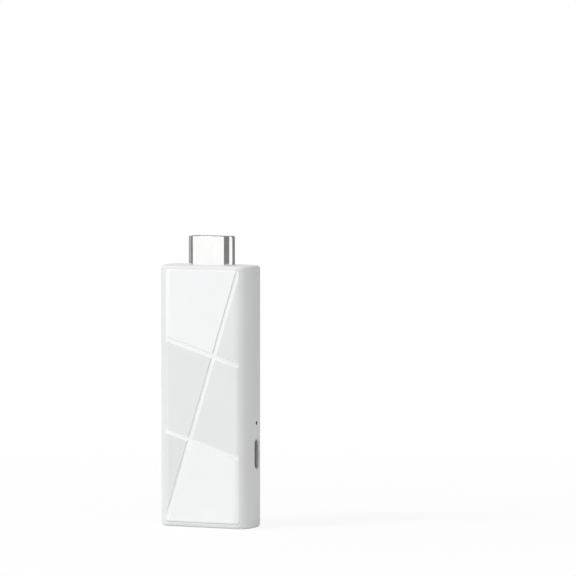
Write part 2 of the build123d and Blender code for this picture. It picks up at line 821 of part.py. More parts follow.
# Heat path: pads on the chips, a pad on the lid and the heat spreader
keep(
    "processor_thermal_pad",
    blocks(
        [(0, processor_height)],
        (processor_pad_side, processor_pad_side, shield_depth - processor_thickness),
        board_front_face.offset(processor_thickness), 1,
    ),
)
keep(
    "memory_thermal_pads",
    blocks(
        memory_places, (memory_pad_width, memory_pad_length, shield_depth - memory_thickness),
        board_front_face.offset(memory_thickness), 1,
    ),
)
keep(
    "spreader_thermal_pad",
    blocks(
        [shield_middle], (spreader_pad_width, spreader_pad_length, spreader_pad_thickness),
        Plane.XZ.offset(-lid_top), 1,
    ),
)
with BuildPart() as heat_spreader:
    with BuildSketch(Plane.XZ.offset(-spreader_back)):
        with Locations(shield_middle):
            RectangleRounded(spreader_width, spreader_length, cover_corner)
    extrude(amount=spreader_thickness)
keep("heat_spreader", heat_spreader.part)

# Wireless module on the lower end of the board
module_size = (module_side, module_side, module_board)
keep("wireless_module_board", blocks([module_place], module_size, board_front_face, 1))
with BuildPart() as module_shield:
    with BuildSketch(board_front_face.offset(module_board)):
        with Locations(module_place):
            Rectangle(module_shield_side, module_shield_side)
    extrude(amount=module_shield_depth)
    fillet(module_shield.edges().filter_by(Axis.Y), radius=module_sheet)
    with BuildSketch(board_front_face.offset(module_board)):
        with Locations(module_place):
            Rectangle(module_shield_side - 2 * module_sheet, module_shield_side - 2 * module_sheet)
    extrude(amount=module_shield_depth - module_sheet, mode=Mode.SUBTRACT)
keep("wireless_module_shield", module_shield.part)

# Antenna: socket on the board, plug on the cable, cable and flexible antenna
connector_x, connector_z = antenna_connector_place
with BuildPart() as antenna_socket:
    with BuildSketch(board_back_face):
        with Locations(antenna_connector_place):
            Rectangle(connector_base_side, connector_base_side)
    extrude(amount=-connector_base_thickness)
    with BuildSketch(board_back_face.offset(-connector_base_thickness)):
        with Locations(antenna_connector_place):
            Circle(connector_core / 2)
    extrude(amount=-connector_core_height)
keep("antenna_socket", antenna_socket.part)

cap_bottom = board_back + connector_base_thickness
cable_level = cap_bottom + connector_cap_height - cable_diameter / 2 + connector_core_height / 2
barrel_radius = cable_diameter / 2 + shield_sheet
with BuildPart() as antenna_plug:
    with BuildSketch(board_back_face.offset(-connector_base_thickness)):
        with Locations(antenna_connector_place):
            Circle(connector_cap / 2)
    extrude(amount=-(cable_level + barrel_radius - cap_bottom))
    with BuildSketch(Plane.XY.offset(connector_z)):
        with Locations((connector_x, cable_level)):
            Circle(barrel_radius)
    extrude(amount=-connector_cap)
    with BuildSketch(board_back_face.offset(-connector_base_thickness)):
        with Locations(antenna_connector_place):
            Circle(connector_core / 2)
    extrude(amount=-connector_core_height, mode=Mode.SUBTRACT)
keep("antenna_plug", antenna_plug.part)

antenna_front = back_inside - antenna_sheet
low_level = antenna_front - cable_diameter / 2
with BuildPart() as antenna_cable:
    with BuildLine():
        FilletPolyline(
            (connector_x, cable_level, connector_z - connector_cap),
            (connector_x, cable_level, cable_drop_start),
            (connector_x, low_level, cable_drop_end),
            (connector_x, low_level, cable_end),
            radius=cable_bend,
        )
    with BuildSketch(Plane.XY.offset(connector_z - connector_cap)):
        with Locations((connector_x, cable_level)):
            Circle(cable_diameter / 2)
    sweep()
keep("antenna_cable", antenna_cable.part)

with BuildPart() as antenna_flex:
    with BuildSketch(Plane.XZ.offset(-antenna_front)):
        with Locations((0, antenna_bottom + antenna_length / 2)):
            RectangleRounded(antenna_width, antenna_length, cover_corner)
    extrude(amount=-antenna_sheet)
keep("antenna_flex", antenna_flex.part)

# Small parts on the board
with BuildPart() as inductors:
    with BuildSketch(board_front_face):
        with Locations(*inductor_places):
            RectangleRounded(inductor_size[0], inductor_size[1], inductor_size[1] / 6)
    extrude(amount=inductor_size[2])
keep("power_inductors", inductors.part)
keep("power_manager_chip", blocks([manager_place], manager_size, board_front_face, 1))
keep("voltage_regulators", blocks(regulator_places, regulator_size, board_front_face, 1))
keep("large_crystal", blocks([large_crystal_place], large_crystal_size, board_front_face, 1))
keep("small_crystal", blocks([small_crystal_place], small_crystal_size, board_front_face, 1))
surge_places = row((surge_start, board_top - surge_drop), surge_pitch, surge_count)
keep("surge_protectors", blocks(surge_places, surge_size, board_front_face, 1))
upper_start = (upper_capacitor_start, board_top - upper_capacitor_drop)
front_places = (
    row(upper_start, front_capacitor_pitch, upper_capacitor_count)
    + row(lower_capacitor_start, front_capacitor_pitch, lower_capacitor_count)
)
keep("front_capacitors", blocks(front_places, capacitor_size, board_front_face, 1))
back_places = [
    place
    for start in back_capacitor_starts
    for place in row(start, back_capacitor_pitch, back_capacitor_count)
]
keep("back_capacitors", blocks(back_places, capacitor_size, board_back_face, -1))
front_resistor_places = row(front_resistor_start, resistor_pitch, front_resistor_count)
keep("front_resistors", blocks(front_resistor_places, resistor_size, board_front_face, 1))
back_resistor_places = row(back_resistor_start, resistor_pitch, back_resistor_count)
keep("back_resistors", blocks(back_resistor_places, resistor_size, board_back_face, -1))

os.makedirs("parts", exist_ok=True)
for name, part in pieces.items():
    export_step(part, f"parts/{name}.step")
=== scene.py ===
"""Dresses the wireless display dongle: its casing, grooved cover, polished video plug and filled board.

Every length is in metres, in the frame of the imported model: X is the width, Y the depth with the cover
at -Y, and Z the length with the plug on top.
"""

import math

import bmesh
import bpy
from mathutils import Matrix, Vector


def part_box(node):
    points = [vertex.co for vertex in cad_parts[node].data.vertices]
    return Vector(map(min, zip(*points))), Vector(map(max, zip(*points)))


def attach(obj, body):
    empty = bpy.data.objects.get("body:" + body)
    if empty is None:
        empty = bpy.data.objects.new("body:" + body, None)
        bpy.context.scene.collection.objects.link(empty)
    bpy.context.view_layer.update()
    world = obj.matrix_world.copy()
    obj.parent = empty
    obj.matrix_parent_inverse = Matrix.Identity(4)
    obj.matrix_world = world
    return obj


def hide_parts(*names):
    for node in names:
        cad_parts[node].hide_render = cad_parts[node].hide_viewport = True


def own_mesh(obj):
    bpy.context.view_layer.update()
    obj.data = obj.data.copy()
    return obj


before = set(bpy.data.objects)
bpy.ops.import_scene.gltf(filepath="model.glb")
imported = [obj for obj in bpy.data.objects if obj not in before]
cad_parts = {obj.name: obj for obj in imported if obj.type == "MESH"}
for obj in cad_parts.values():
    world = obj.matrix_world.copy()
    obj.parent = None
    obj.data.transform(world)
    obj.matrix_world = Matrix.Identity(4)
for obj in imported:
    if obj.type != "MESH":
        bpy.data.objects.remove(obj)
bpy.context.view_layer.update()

bl_info = {
    "name": "Wireless display dongle",
    "version": (1, 0, 0),
    "blender": (4, 5, 0),
    "location": "3D View > Sidebar > Dongle",
    "description": "Moulded, metal and printed-board finishes for a wireless display dongle",
    "category": "Object",
}

MM = 0.001

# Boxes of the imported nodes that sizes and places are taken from
CASING_LOW, CASING_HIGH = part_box("rear_shell")
COVER_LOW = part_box("front_cover")[0]
PLUG_LOW, PLUG_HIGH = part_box("video_plug_shell")
SOCKET_LOW, SOCKET_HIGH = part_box("power_socket_shell")
BOARD_LOW, BOARD_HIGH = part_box("main_board")
PLUNGER_LOW, PLUNGER_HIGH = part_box("reset_switch_plunger")
SPREADER_LOW, SPREADER_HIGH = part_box("heat_spreader")
SCREWS_LOW, SCREWS_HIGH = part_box("board_screws")

# Camera: the photograph's side and the place of the camera's target in it, in pixels, the height of
# that target, the sensor's width in millimetres, and how far the camera sees
PHOTO_SIZE = 576
TARGET_PIXEL = (210.65, 396.3)
TARGET_HEIGHT = 37.75 * MM
SENSOR = 36
CLIP_END = 20

# Studio: cards as name, first and last angle from the front in degrees, and tone
CARDS = (
    ("card_right_front", 28, 70, 0.2),
    ("card_right_back", 134, 178, 0.2),
    ("card_left_front", -88, -32, 0.17),
    ("card_left", -150, -92, 0.38),
)
CARD_STEPS = 8
CARD_DISTANCE = 0.45
CARD_HEIGHTS = (0.001, 0.4)
CANOPY_HALF = 0.4
CANOPY_HEIGHT = 0.42
CANOPY_TONE = 0.25
KEY_PLACE = (-1.0, -1.15, 1.35)
KEY_SIZE = 0.7
TOP_PLACE = (0.15, -0.2, 1.6)
TOP_SIZE = 1.2
LAMP_TARGET = (0, 0, 0.04)
LAMP_SHINE = 0.3
FLOOR_HALF = 4
FLOOR_TONE = 0.92
FLOOR_GRAIN = 400
SHADOW_REACH = (0.05, 0.30)
SHADOW_SHARE = 0.86

# Casing: bosses, posts, seats and saddle, then shares of its sizes and points in its curves
SCREW_HEAD = 2.8 * MM
SCREW_PLACES = (
    (SCREWS_HIGH.x - SCREW_HEAD / 2, SCREWS_HIGH.z - SCREW_HEAD / 2),
    (SCREWS_LOW.x + SCREW_HEAD / 2, SCREWS_LOW.z + SCREW_HEAD / 2),
)
POST_PLACES = (
    (SCREW_PLACES[1][0], SCREW_PLACES[0][1]),
    (SCREW_PLACES[0][0], 12.5 * MM),
    (9.3 * MM, 46 * MM),
    (-9.3 * MM, 46 * MM),
)
SOCKET_SPAN = 8.94 * MM
SADDLE_GAP = 0.1 * MM
SEAT_HEIGHTS = (12 * MM, 29 * MM, 47 * MM, 65 * MM)
SEAT_LENGTH = 3 * MM
END_SEAT_LENGTH = 6 * MM
SEAT_OVERLAP = 0.5 * MM
SEAT_THICKNESS = 0.8 * MM
THROUGH_WALL = 1.1
SLOT_ROUND_SHARE = 0.4999
PINHOLE_SHARE = 0.51
PINHOLE_DEPTH_SHARE = 1.05
# Painted shade inside the pinhole: the share of the colour left on its wall
PINHOLE_PAINTED_SHADE = 0.3
SKIN_STEPS = 8
SKIN_CORNER_STEPS = 20
CAVITY_CORNER_STEPS = 16
OPENING_CORNER_STEPS = 8
SLOT_CORNER_STEPS = 12
CIRCLE_STEPS = 32

# Cover: plate, hooks, posts, how far they root in the plate, how far cutters rise from it, and the
# painted shade that darkens its facets
COVER_PROUD = 0.2 * MM
COVER_PLATE = 1.3 * MM
SLAB_STEPS = 10
SLAB_SPARE = 1.02
HOOK_HEIGHTS = (20 * MM, 38 * MM, 56 * MM)
HOOK_LENGTH = 3 * MM
HOOK_THICKNESS = 0.7 * MM
HOOK_INSET = 0.55 * MM
HOOK_REACH = 2.1 * MM
HOOK_BARB = 0.9 * MM
BARB_DROP = 0.65 * MM
PRESS_SPREAD = (15.2 * MM, 19 * MM)
PRESS_DIAMETER = 2 * MM
ROOT_SHARE = 0.25
CUTTER_RISE = 1 * MM
# Painted shade: how much the colour of each facet is darkened
UPPER_RIGHT_PAINTED_SHADE = 0.12
MIDDLE_LEFT_PAINTED_SHADE = 0.115
MIDDLE_RIGHT_PAINTED_SHADE = 0.105
LOWER_LEFT_PAINTED_SHADE = 0.145

# Video plug: points in its curves
PLUG_CORNER_STEPS = 6
RIM_STEPS = 4

# Contacts
PLUG_CONTACT_WIDTH = 0.45 * MM
PLUG_CONTACT_SHEET = 0.2 * MM
PLUG_CONTACT_PITCH = 1.0 * MM
PLUG_CONTACTS = {"back": 10, "front": 9}
SOCKET_CONTACT_WIDTH = 0.26 * MM
SOCKET_CONTACT_SHEET = 0.12 * MM
SOCKET_CONTACT_PITCH = 0.5 * MM
SOCKET_CONTACTS = 12
TONGUE_HALF = 0.4 * MM
CONTACT_EDGE = 0.02 * MM

# Small parts and the spring dome
CAPACITOR = Vector((0.8, 0.8, 1.6)) * MM
RESISTOR = Vector((0.5, 0.35, 1.0)) * MM
SURGE_PROTECTOR = Vector((2.1, 0.5, 1.0)) * MM
UPPER_CAPACITORS = 8
LOWER_CAPACITORS = 4
BACK_CAPACITORS = 6
BACK_ROWS = 3
RESISTORS = {"front": 2, "back": 13}
SURGE_PROTECTORS = 4
FRONT_PITCH = 1.6 * MM
BACK_PITCH = 2 * MM
BACK_ROW_PITCH = 3 * MM
RESISTOR_PITCH = 1 * MM
SURGE_PITCH = 2.8 * MM
END_SHARE = 0.22
END_PROUD = 0.03 * MM
CHIP_EDGE = 0.04 * MM
DOME_SHEET = 0.1 * MM
DOME_STEPS = 24

# Mending and smoothing: points closer than this are one, and angles in degrees
DOUBLE_DISTANCE = 0.01 * MM
SHARP_FROM = 30
CREASE_FROM = 40

# Finishes: grain in marks per metre, depth of relief, and the board's tracks
MOULD_GRAIN = 9000
MOULD_CLOUDS = 90
MATT_GRAIN = 6000
MATT_CLOUDS = 300
METAL_CLOUDS = 250
MOULD_DEPTH = 0.02 * MM
METAL_DEPTH = 0.01 * MM
TRACK_DEPTH = 0.03 * MM
TRACK_PITCH = 0.5 * MM
TRACK_SHARE = 0.36
TRACK_CHANCE = 0.45
TRACK_LENGTH = 6


def length(name, description, default):
    """A size that a user may change."""
    return bpy.props.FloatProperty(
        name=name, description=description, default=default, min=0, unit="LENGTH", precision=5
    )


def angle_setting(name, description, degrees):
    """An angle that a user may change."""
    return bpy.props.FloatProperty(
        name=name, description=description, default=math.radians(degrees), subtype="ANGLE"
    )


def power_setting(name, description, default):
    """The power of a lamp that a user may change."""
    return bpy.props.FloatProperty(name=name, description=description, default=default, unit="POWER")


def colour(name, description, default):
    """A surface colour that a user may change."""
    return bpy.props.FloatVectorProperty(
        name=name, description=description, default=default, size=4, min=0, max=1, subtype="COLOR"
    )


class CasingSettings(bpy.types.PropertyGroup):
    """Sizes and colour of the rear shell."""

    width: length("Width", "Width of the casing", CASING_HIGH.x - CASING_LOW.x)
    depth: length("Depth", "Depth of the casing without its cover", CASING_HIGH.y - CASING_LOW.y)
    height: length("Length", "Length of the casing without its plug", CASING_HIGH.z - CASING_LOW.z)
    corner_radius: length("Corner radius", "Radius of the four long corners", 4.0 * MM)
    end_round: length("End rounding", "Radius round both ends", 1.0 * MM)
    wall: length("Wall", "Thickness of the walls", 1.3 * MM)
    side_border: length("Side border", "Casing left of the cover's opening", 2.75 * MM)
    end_border: length("End border", "Casing above and below the cover's opening", 1.3 * MM)
    opening_rise: length("Opening rise", "How far the cover's opening sits above the middle", 0.15 * MM)
    opening_corner: length("Opening corner", "Corner radius of the cover's opening", 0.9 * MM)
    edge_round: length("Edge rounding", "Softening of the moulded edges", 0.012 * MM)
    boss_diameter: length("Boss", "Diameter of the screw bosses", 3.8 * MM)
    pilot_diameter: length("Pilot hole", "Diameter of the holes in the bosses", 1.64 * MM)
    pilot_depth: length("Pilot depth", "Depth of the holes in the bosses", 3.4 * MM)
    post_diameter: length("Post", "Diameter of the support posts", 2.4 * MM)
    saddle_width: length("Saddle width", "Width of the saddle behind the plug", 9.0 * MM)
    saddle_thickness: length("Saddle thickness", "Thickness of the saddle behind the plug", 1.2 * MM)
    saddle_drop: length("Saddle drop", "Saddle below the upper end", 3.3 * MM)
    slot_gap: length("Slot gap", "Gap round the power socket", 0.12 * MM)
    pinhole: length("Pinhole", "Diameter of the reset pinhole", 1.1 * MM)
    colour: colour("Colour", "White of the moulded casing", (0.738, 0.742, 0.747, 1))


class CoverSettings(bpy.types.PropertyGroup):
    """Sizes, pattern and colour of the front cover."""

    gap: length("Gap", "Gap at the sides and the upper edge of the cover", 0.006 * MM)
    lower_gap: length("Lower gap", "Gap at the lower edge of the cover", 0.07 * MM)
    proud: length("Proud", "How far the cover stands out of the casing", COVER_PROUD)
    thickness: length("Thickness", "Thickness of the plate", COVER_PLATE)
    edge_round: length("Edge rounding", "Softening of the cover's rim and grooves", 0.022 * MM)
    bevel_depth: length("Bevel depth", "Depth of the bevel along both ends", 0.17 * MM)
    bevel_height: length("Bevel height", "Height of that bevel", 0.4 * MM)
    flat_width: length("Flat width", "Width of the flat front between the curved sides", 19.9 * MM)
    pattern_turn: angle_setting("Pattern turn", "Lean of the long groove", 17.5)
    long_groove: length("Long groove", "Width of the long groove", 1.45 * MM)
    long_draft: length("Long groove draft", "Lean of the long groove's walls, at the floor", 0.15 * MM)
    cross_groove: length("Cross groove", "Width of the cross grooves", 1.45 * MM)
    cross_draft: length("Cross groove draft", "Lean of the cross grooves' walls, at the floor", 0.28 * MM)
    cross_offset: length("Cross groove offset", "Half the way between the cross grooves", 12.75 * MM)
    cross_drop: length("Cross groove drop", "How far the cross grooves sit below the middle", 0.35 * MM)
    groove_depth: length("Groove depth", "Depth of the grooves", 0.3 * MM)
    facet_slope: angle_setting("Facet slope", "Fall of the two facets", 0.4)
    colour: colour("Colour", "White of the cover", (0.86, 0.865, 0.87, 1))


class PlugSettings(bpy.types.PropertyGroup):
    """Sizes and colour of the video plug."""

    front_width: length("Front width", "Width of the narrower front face", 10.3 * MM)
    cut_depth: length("Cut depth", "Depth of the cut-off front corners", 1.75 * MM)
    cut_round: length("Cut rounding", "Radius where the cuts meet the front", 1.3 * MM)
    side_round: length("Side rounding", "Radius where the cuts meet the sides", 1.9 * MM)
    back_round: length("Back rounding", "Radius of the back corners", 0.6 * MM)
    sheet: length("Sheet", "Thickness of the metal", 0.3 * MM)
    mouth_round: length("Mouth rounding", "Radius of the mouth's corners", 0.6 * MM)
    mouth_fall: length("Mouth fall", "How far the mouth falls away at its corners", 0.45 * MM)
    lead_in: length("Lead-in", "Radius of the rim's outer edge", 0.12 * MM)
    rim_edge: length("Rim edge", "Size of the rim's inner edge", 0.04 * MM)
    rim_start: length("Rim start", "Where the straight walls end below the mouth", 0.6 * MM)
    wall_gap: length("Wall gap", "Gap between plug and casing", 0.2 * MM)
    inside: length("Inside", "Length of the tube inside the casing", 5.7 * MM)
    leg_depth: length("Leg depth", "Depth of the two legs", 2.4 * MM)
    leg_overlap: length("Leg overlap", "How far the legs run into the tube", 0.02 * MM)
    colour: colour("Colour", "Colour of the polished metal", (0.985, 0.985, 0.98, 1))


class StageSettings(bpy.types.PropertyGroup):
    """Camera, lamps and the world's light."""

    camera_turn: angle_setting("Camera turn", "How far the camera stands to the right", 25)
    camera_rise: angle_setting("Camera rise", "How far the camera stands above the object", 4.5)
    camera_roll: angle_setting("Camera roll", "Lean of the picture", -0.05)
    camera_distance: length("Camera distance", "Camera to object", 1.4)
    lens: bpy.props.FloatProperty(
        name="Lens", description="Focal length in millimetres", default=301.4, unit="CAMERA"
    )
    key_power: power_setting("Key lamp", "Power of the front lamp", 21.4)
    top_power: power_setting("Top lamp", "Power of the top lamp", 3.0)
    ambient: bpy.props.FloatProperty(
        name="Ambient", description="Strength of the world's light", default=0.545
    )
    side_fall: bpy.props.FloatProperty(
        name="Side fall", description="How much darker the world is on the right", default=0.1
    )


# Meshes


def rounded_outline(width, depth, radius, steps):
    """Points of a rounded rectangle about the origin, anticlockwise."""
    points = []
    for corner, (side, end) in enumerate(((1, 1), (-1, 1), (-1, -1), (1, -1))):
        for step in range(steps + 1):
            turn = math.pi / 2 * (corner + step / steps)
            points.append((
                side * (width / 2 - radius) + radius * math.cos(turn),
                end * (depth / 2 - radius) + radius * math.sin(turn),
            ))
    return points


def rounded_polygon(corners, steps, inset):
    """Points of an anticlockwise polygon with rounded corners (x, y, radius), moved inwards by inset."""
    points = []
    count = len(corners)
    for index, (x, y, radius) in enumerate(corners):
        here = Vector((x, y))
        before = (Vector(corners[index - 1][:2]) - here).normalized()
        after = (Vector(corners[(index + 1) % count][:2]) - here).normalized()
        half = before.angle(after) / 2
        centre = here + (before + after).normalized() * radius / math.sin(half)
        start = Vector((-before.y, before.x))
        sweep = math.pi - 2 * half
        for step in range(steps + 1):
            turned = Matrix.Rotation(sweep * step / steps, 2) @ start
            points.append(tuple(centre + turned * (radius - inset)))
    return points


def loft(rings, tube=False):
    """Closed mesh through rings of equally many points, capped at both ends or bent back to a tube."""
    mesh = bmesh.new()
    loops = [[mesh.verts.new(point) for point in ring] for ring in rings]
    following_loops = loops[1:] + loops[:1] if tube else loops[1:]
    for lower, upper in zip(loops, following_loops):
        for index in range(len(lower)):
            following = (index + 1) % len(lower)
            mesh.faces.new((lower[index], lower[following], upper[following], upper[index]))
    if not tube:
        mesh.faces.new(list(reversed(loops[0])))
        mesh.faces.new(loops[-1])
    bmesh.ops.recalc_face_normals(mesh, faces=mesh.faces)
    return mesh


def prism(outline, start, end, plane):
    """Closed prism. plane maps an outline point (u, v) and a distance w to a place."""
    return loft([[plane(u, v, w) for u, v in outline] for w in (start, end)])


def along_x(u, v, w):
    """Outline in Y and Z, run along X."""
    return Vector((w, u, v))


def along_y(u, v, w):
    """Outline in X and Z, run along Y."""
    return Vector((u, w, v))


def along_z(u, v, w):
    """Outline in X and Y, run along Z."""
    return Vector((u, v, w))


def rectangle(width, depth):
    """Corners of a rectangle about the origin, anticlockwise."""
    across, along = width / 2, depth / 2
    return [(-across, -along), (across, -along), (across, along), (-across, along)]


def circle(diameter):
    """Points of a circle about the origin."""
    turns = [math.tau * step / CIRCLE_STEPS for step in range(CIRCLE_STEPS)]
    return [(diameter / 2 * math.cos(turn), diameter / 2 * math.sin(turn)) for turn in turns]


def shifted(outline, across, along):
    """The outline, moved."""
    return [(u + across, v + along) for u, v in outline]


def new_object(name, mesh):
    """Links a mesh to the scene as an object and frees it."""
    data = bpy.data.meshes.new(name)
    mesh.to_mesh(data)
    mesh.free()
    piece = bpy.data.objects.new(name, data)
    bpy.context.scene.collection.objects.link(piece)
    return piece


def settle(piece):
    """Applies the modifiers of a piece to its mesh."""
    graph = bpy.context.evaluated_depsgraph_get()
    data = bpy.data.meshes.new_from_object(piece.evaluated_get(graph), depsgraph=graph)
    piece.modifiers.clear()
    old = piece.data
    piece.data = data
    data.name = piece.name
    bpy.data.meshes.remove(old)


def carve(piece, cutters, operation="DIFFERENCE"):
    """Cuts solids out of a piece, joins them to it or trims it to them, one after another."""
    for mesh in cutters:
        cutter = new_object("cutter", mesh)
        step = piece.modifiers.new("carve", "BOOLEAN")
        step.operation = operation
        step.solver = "EXACT"
        step.object = cutter
        settle(piece)
        data = cutter.data
        bpy.data.objects.remove(cutter)
        bpy.data.meshes.remove(data)


def smooth(piece):
    """Smooth faces with sharp edges where the surface turns a lot."""
    piece.data.polygons.foreach_set("use_smooth", [True] * len(piece.data.polygons))
    piece.data.set_sharp_from_angle(angle=math.radians(CREASE_FROM))


def soften(piece, width, segments=2):
    """Mends doubled points and hollow faces of a piece, then rounds its sharp edges a little."""
    mesh = bmesh.new()
    mesh.from_mesh(piece.data)
    bmesh.ops.remove_doubles(mesh, verts=mesh.verts, dist=DOUBLE_DISTANCE)
    bmesh.ops.connect_verts_concave(mesh, faces=mesh.faces)
    mesh.to_mesh(piece.data)
    mesh.free()
    bevel = piece.modifiers.new("edges", "BEVEL")
    bevel.width = width
    bevel.segments = segments
    bevel.limit_method = "ANGLE"
    bevel.angle_limit = math.radians(SHARP_FROM)
    bevel.use_clamp_overlap = False
    bevel.miter_outer = "MITER_ARC"
    settle(piece)
    smooth(piece)
    weigh = piece.modifiers.new("normals", "WEIGHTED_NORMAL")
    weigh.keep_sharp = True
    settle(piece)


def row_tree():
    """Geometry nodes that repeat a part in a row and in rows of rows, and give it its finishes."""
    tree = bpy.data.node_groups.new("rows_of_parts", "GeometryNodeTree")
    for name, kind in (
        ("Part", "Geometry"),
        ("Count", "Int"),
        ("Pitch", "Vector"),
        ("Rows", "Int"),
        ("Row pitch", "Vector"),
        ("Body finish", "Material"),
        ("Metal finish", "Material"),
    ):
        tree.interface.new_socket(name, in_out="INPUT", socket_type=f"NodeSocket{kind}")
    tree.interface.new_socket("Rows of parts", in_out="OUTPUT", socket_type="NodeSocketGeometry")
    given = tree.nodes.new("NodeGroupInput").outputs
    part = given["Part"]
    for count, pitch in (("Count", "Pitch"), ("Rows", "Row pitch")):
        line = node(tree, "GeometryNodeMeshLine", {"Count": given[count], "Offset": given[pitch]})
        copies = node(tree, "GeometryNodeInstanceOnPoints", {
            "Points": line.outputs["Mesh"], "Instance": part,
        })
        part = node(tree, "GeometryNodeRealizeInstances", {
            "Geometry": copies.outputs["Instances"],
        }).outputs["Geometry"]
    metal_faces = node(tree, "GeometryNodeInputNamedAttribute", {"Name": "metal"}, data_type="BOOLEAN")
    part = node(tree, "GeometryNodeSetMaterial", {
        "Geometry": part, "Material": given["Body finish"],
    }).outputs["Geometry"]
    part = node(tree, "GeometryNodeSetMaterial", {
        "Geometry": part, "Selection": metal_faces.outputs[0], "Material": given["Metal finish"],
    }).outputs["Geometry"]
    tree.links.new(part, tree.nodes.new("NodeGroupOutput").inputs[0])
    return tree


def repeat(piece, tree, **values):
    """Repeats a part with the row tree and drops the empty material slot that the part had."""
    step = piece.modifiers.new("rows", "NODES")
    step.node_group = tree
    for socket in tree.interface.items_tree:
        key = socket.name.lower().replace(" ", "_")
        if socket.in_out == "INPUT" and key in values:
            step[socket.identifier] = values[key]
    settle(piece)
    piece.data.materials.pop(index=0)
    return piece


def block(mesh, middle, size, metal=False):
    """Adds a box to a mesh and marks its faces as metal or not."""
    corners = bmesh.ops.create_cube(mesh, size=1)["verts"]
    for corner in corners:
        corner.co = Vector(middle) + corner.co * Vector(size)
        for face in corner.link_faces:
            face.material_index = int(metal)


def mark_metal(piece):
    """Keeps which faces are metal in an attribute that the row tree reads."""
    marks = piece.data.attributes.new("metal", "BOOLEAN", "FACE")
    marks.data.foreach_set("value", [face.material_index == 1 for face in piece.data.polygons])


def join(name, pieces):
    """Joins pieces that share their finishes into one."""
    mesh = bmesh.new()
    for piece in pieces:
        mesh.from_mesh(piece.data)
    joined = new_object(name, mesh)
    for material in pieces[0].data.materials:
        joined.data.materials.append(material)
    for piece in pieces:
        data = piece.data
        bpy.data.objects.remove(piece)
        bpy.data.meshes.remove(data)
    return joined


def dress(piece, material, slot, body, *replaced):
    """Gives a piece its finish, unless it has it, and ties it to its body and the nodes it stands for."""
    if material:
        piece.data.materials.clear()
        piece.data.materials.append(material)
    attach(piece, body)
    if replaced:
        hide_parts(*replaced)


# Finishes


def node(tree, kind, inputs=None, **settings):
    """Adds a node and sets its properties and sockets."""
    added = tree.nodes.new(kind)
    for name, value in settings.items():
        setattr(added, name, value)
    for name, value in (inputs or {}).items():
        socket = added.inputs[name]
        if isinstance(value, bpy.types.NodeSocket):
            tree.links.new(value, socket)
        else:
            socket.default_value = value
    return added


def blank_material(name):
    """A node material with a Principled shader and Object coordinates."""
    material = bpy.data.materials.new(name)
    material.use_nodes = True
    tree = material.node_tree
    shader = tree.nodes["Principled BSDF"]
    place = node(tree, "ShaderNodeTexCoord").outputs["Object"]
    return material, tree, shader, place


def maths(tree, operation, first, second):
    """Works out one value from two."""
    return node(tree, "ShaderNodeMath", {0: first, 1: second}, operation=operation).outputs["Value"]


def product(tree, first, *others):
    """Product of two or more values."""
    for other in others:
        first = maths(tree, "MULTIPLY", first, other)
    return first


def vectors(tree, operation, first, second):
    """Works out one vector from two."""
    return node(tree, "ShaderNodeVectorMath", {
        0: first, 1: second,
    }, operation=operation).outputs["Vector"]


def axis(tree, value, letter):
    """One part of a vector."""
    return node(tree, "ShaderNodeSeparateXYZ", {"Vector": value}).outputs[letter]


def scaled(tree, value, factor):
    """A colour times a factor."""
    return node(tree, "ShaderNodeVectorMath", {
        0: value, "Scale": factor,
    }, operation="SCALE").outputs["Vector"]


def darken(tree, shader, factor):
    """Scales the colour that a shader already has."""
    plain = shader.inputs["Base Color"].links[0].from_socket
    tree.links.new(scaled(tree, plain, factor), shader.inputs["Base Color"])


def spread(tree, value, low, high, to_low, to_high):
    """Maps a texture's value to another range."""
    return node(tree, "ShaderNodeMapRange", {
        "Value": value, "From Min": low, "From Max": high, "To Min": to_low, "To Max": to_high,
    }).outputs["Result"]


def swing(tree, noise, low, high):
    """Maps noise, which mostly stays between 0.3 and 0.7, to another range."""
    return spread(tree, noise, 0.3, 0.7, low, high)


def grain(tree, place, scale, stretch=(1, 1, 1)):
    """Noise of a given scale per metre, stretched along the axes."""
    mapped = node(tree, "ShaderNodeMapping", {"Vector": place, "Scale": stretch}).outputs["Vector"]
    noise = node(tree, "ShaderNodeTexNoise", {"Vector": mapped, "Scale": scale, "Detail": 3.0})
    return noise.outputs["Fac"]


def tint(tree, base, noise, low, high):
    """A colour, darkened and lightened by noise."""
    return scaled(tree, base[:3], swing(tree, noise, low, high))


def relief(tree, height, strength, distance):
    """Bump from a texture's value."""
    return node(tree, "ShaderNodeBump", {
        "Height": height, "Strength": strength, "Distance": distance,
    }).outputs["Normal"]


def surface(tree, shader, tone, roughness, normal):
    """Gives a shader its colour, its roughness and its relief."""
    for name, value in (("Base Color", tone), ("Roughness", roughness), ("Normal", normal)):
        tree.links.new(value, shader.inputs[name])


def moulded_white(name, base):
    """White plastic with the fine texture of a spark-eroded mould."""
    material, tree, shader, place = blank_material(name)
    fine = grain(tree, place, MOULD_GRAIN)
    tone = tint(tree, base, grain(tree, place, MOULD_CLOUDS), 0.992, 1.008)
    surface(tree, shader, tone, swing(tree, fine, 0.38, 0.46), relief(tree, fine, 0.12, MOULD_DEPTH))
    shader.inputs["IOR"].default_value = 1.46
    shader.inputs["Specular IOR Level"].default_value = 0.4
    return material, tree, shader, place


